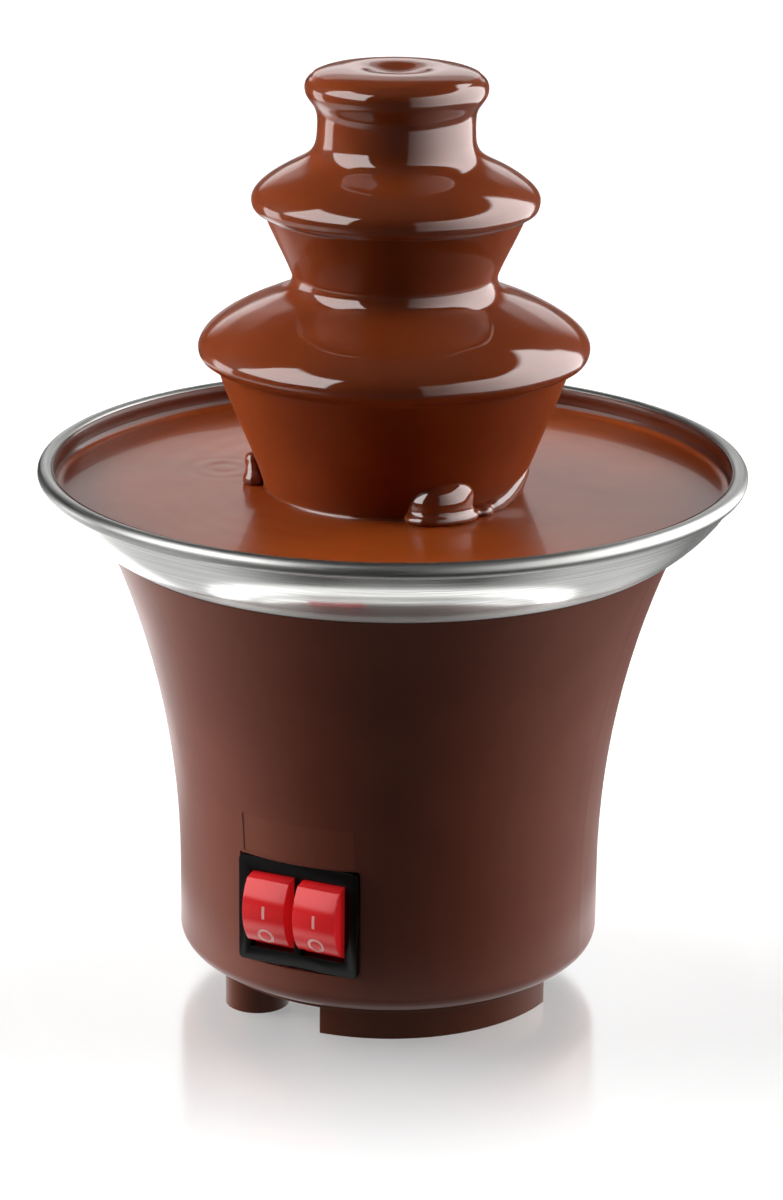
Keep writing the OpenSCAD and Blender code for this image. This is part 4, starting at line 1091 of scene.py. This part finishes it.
def pressed_ball(angle, reach, z, size):
    """A ball pressed to across, outward and upward sizes, set at an angle from the front towards +X."""
    turn_by = math.radians(angle)
    place = (reach * math.sin(turn_by) * MM, -reach * math.cos(turn_by) * MM, z * MM)
    bpy.ops.mesh.primitive_uv_sphere_add(segments=24, ring_count=16, radius=MM)
    ball = bpy.context.object
    ball.scale = size
    ball.rotation_euler = (0, 0, turn_by)
    ball.location = place
    bpy.ops.object.transform_apply(location=True, rotation=True, scale=True)
    return ball


balls = [pressed_ball(*row) for row in FRONT_PILE + RIGHT_FOLD + LEFT_DROPS]
clear_selection()
for ball in balls:
    ball.select_set(True)
splash = balls[0]
splash.name = "foot_splash"
bpy.context.view_layer.objects.active = splash
bpy.ops.object.join()
weld = splash.modifiers.new("weld", "REMESH")
weld.mode = "VOXEL"
weld.voxel_size = SPLASH_VOXEL
bpy.ops.object.modifier_apply(modifier="weld")
settle = splash.modifiers.new("settle", "SMOOTH")
settle.factor = 0.5
settle.iterations = 26
bpy.ops.object.modifier_apply(modifier="settle")
bpy.ops.object.shade_smooth()
splash.data.materials.clear()
splash.data.materials.append(SPLASH_FINISH)
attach(splash, "tower")
print("splash", len(splash.data.polygons), "faces from", len(balls), "balls")

# %% [markdown]
# The housing turns in under itself with a round edge, and a fine bead runs along its lowest visible part.
# The bead catches the light of the floor as one thin line. A lathe ring sunk into the round edge gives it.

# %% Bead under the housing
BEAD_R = 0.35
EDGE_ROUND = 5.0
HOUSING_FOOT_R = 51.5
BEAD_SLOPE = math.radians(-72)
housing_low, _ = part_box("base_housing")
round_at = (HOUSING_FOOT_R - EDGE_ROUND, housing_low.z / MM + EDGE_ROUND)
sunk = EDGE_ROUND - 0.25
bead_at = (round_at[0] + sunk * math.cos(BEAD_SLOPE), round_at[1] + sunk * math.sin(BEAD_SLOPE))
bead_section = arc(bead_at, BEAD_R, 20, -160, 10)
bead_section += [(bead_at[0] - 0.3, bead_at[1] + 0.2), bead_section[0]]
housing_bead = lathe("housing_bead", bead_section, 160)
bead_finish = plastic("bead_plastic", "#6c3827", "#623122", 0.22, grain=1500.0)
housing_bead.data.materials.append(bead_finish)
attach(housing_bead, "base")
print("bead at", [round(value, 2) for value in bead_at])

# %% [markdown]
# Moulded parts never have knife edges. The light that runs along a small radius tells the eye the size.
# The CAD solids of the switch and of the bottom cover are sharp, so each gets a copy: its loose triangles
# are merged, flat areas become single faces, and a Bevel modifier rounds the edges by a small radius.
# The rockers' fronts are also drawn out a little, and narrowed so that they clear the frame as they tilt.

# %% Rounded switch and feet
FRONT_FACING = -0.6
FRONT_DEEP = 3.0
FRONT_TAPER = 0.965
ROCKER_OUT = 2.0
BODY_NODES = {
    "base": ("switch_frame", "bottom_cover"),
    "rocker_motor": ("rocker_motor",),
    "rocker_heat": ("rocker_heat",),
}


def rounded_copy(node, name, radius, segments=3, stand_out=0.0):
    """A copy of a CAD node with merged corners and rounded edges, in the node's place."""
    clear_selection()
    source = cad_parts[node]
    piece = bpy.data.objects.new(name, source.data.copy())
    bpy.context.scene.collection.objects.link(piece)
    piece.select_set(True)
    bpy.context.view_layer.objects.active = piece
    bpy.ops.mesh.customdata_custom_splitnormals_clear()
    bpy.ops.object.mode_set(mode="EDIT")
    bpy.ops.mesh.select_all(action="SELECT")
    bpy.ops.mesh.remove_doubles(threshold=0.002 * MM)
    bpy.ops.mesh.dissolve_limited(angle_limit=math.radians(1))
    bpy.ops.mesh.select_all(action="DESELECT")
    bpy.ops.object.mode_set(mode="OBJECT")
    low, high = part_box(node)
    front_end = low.y + FRONT_DEEP * MM
    for face in piece.data.polygons:
        face.select = stand_out > 0 and face.normal.y < FRONT_FACING and face.center.y < front_end
    bpy.ops.object.mode_set(mode="EDIT")
    bpy.ops.transform.translate(value=(0, -stand_out * MM, 0))
    bpy.ops.transform.resize(value=(1, 1, FRONT_TAPER), center_override=(0, 0, (low.z + high.z) / 2))
    bpy.ops.object.mode_set(mode="OBJECT")
    rounding = piece.modifiers.new("rounded_edges", "BEVEL")
    rounding.limit_method = "ANGLE"
    rounding.angle_limit = math.radians(35)
    rounding.width = radius * MM
    rounding.segments = segments
    bpy.ops.object.modifier_apply(modifier="rounded_edges")
    bpy.ops.object.shade_smooth_by_angle(angle=math.radians(32))
    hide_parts(node)
    body = next(body for body, rows in BODY_NODES.items() if node in rows)
    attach(piece, body)
    print(name, "rounded by", radius, "mm,", len(piece.data.polygons), "faces, on", body)
    return piece


rounded_copy("switch_frame", "bezel_rounded", 0.35)
rounded_copy("rocker_motor", "rocker_motor_rounded", 0.7, 4, ROCKER_OUT)
rounded_copy("rocker_heat", "rocker_heat_rounded", 0.7, 4, ROCKER_OUT)
rounded_copy("bottom_cover", "cover_rounded", 0.45)
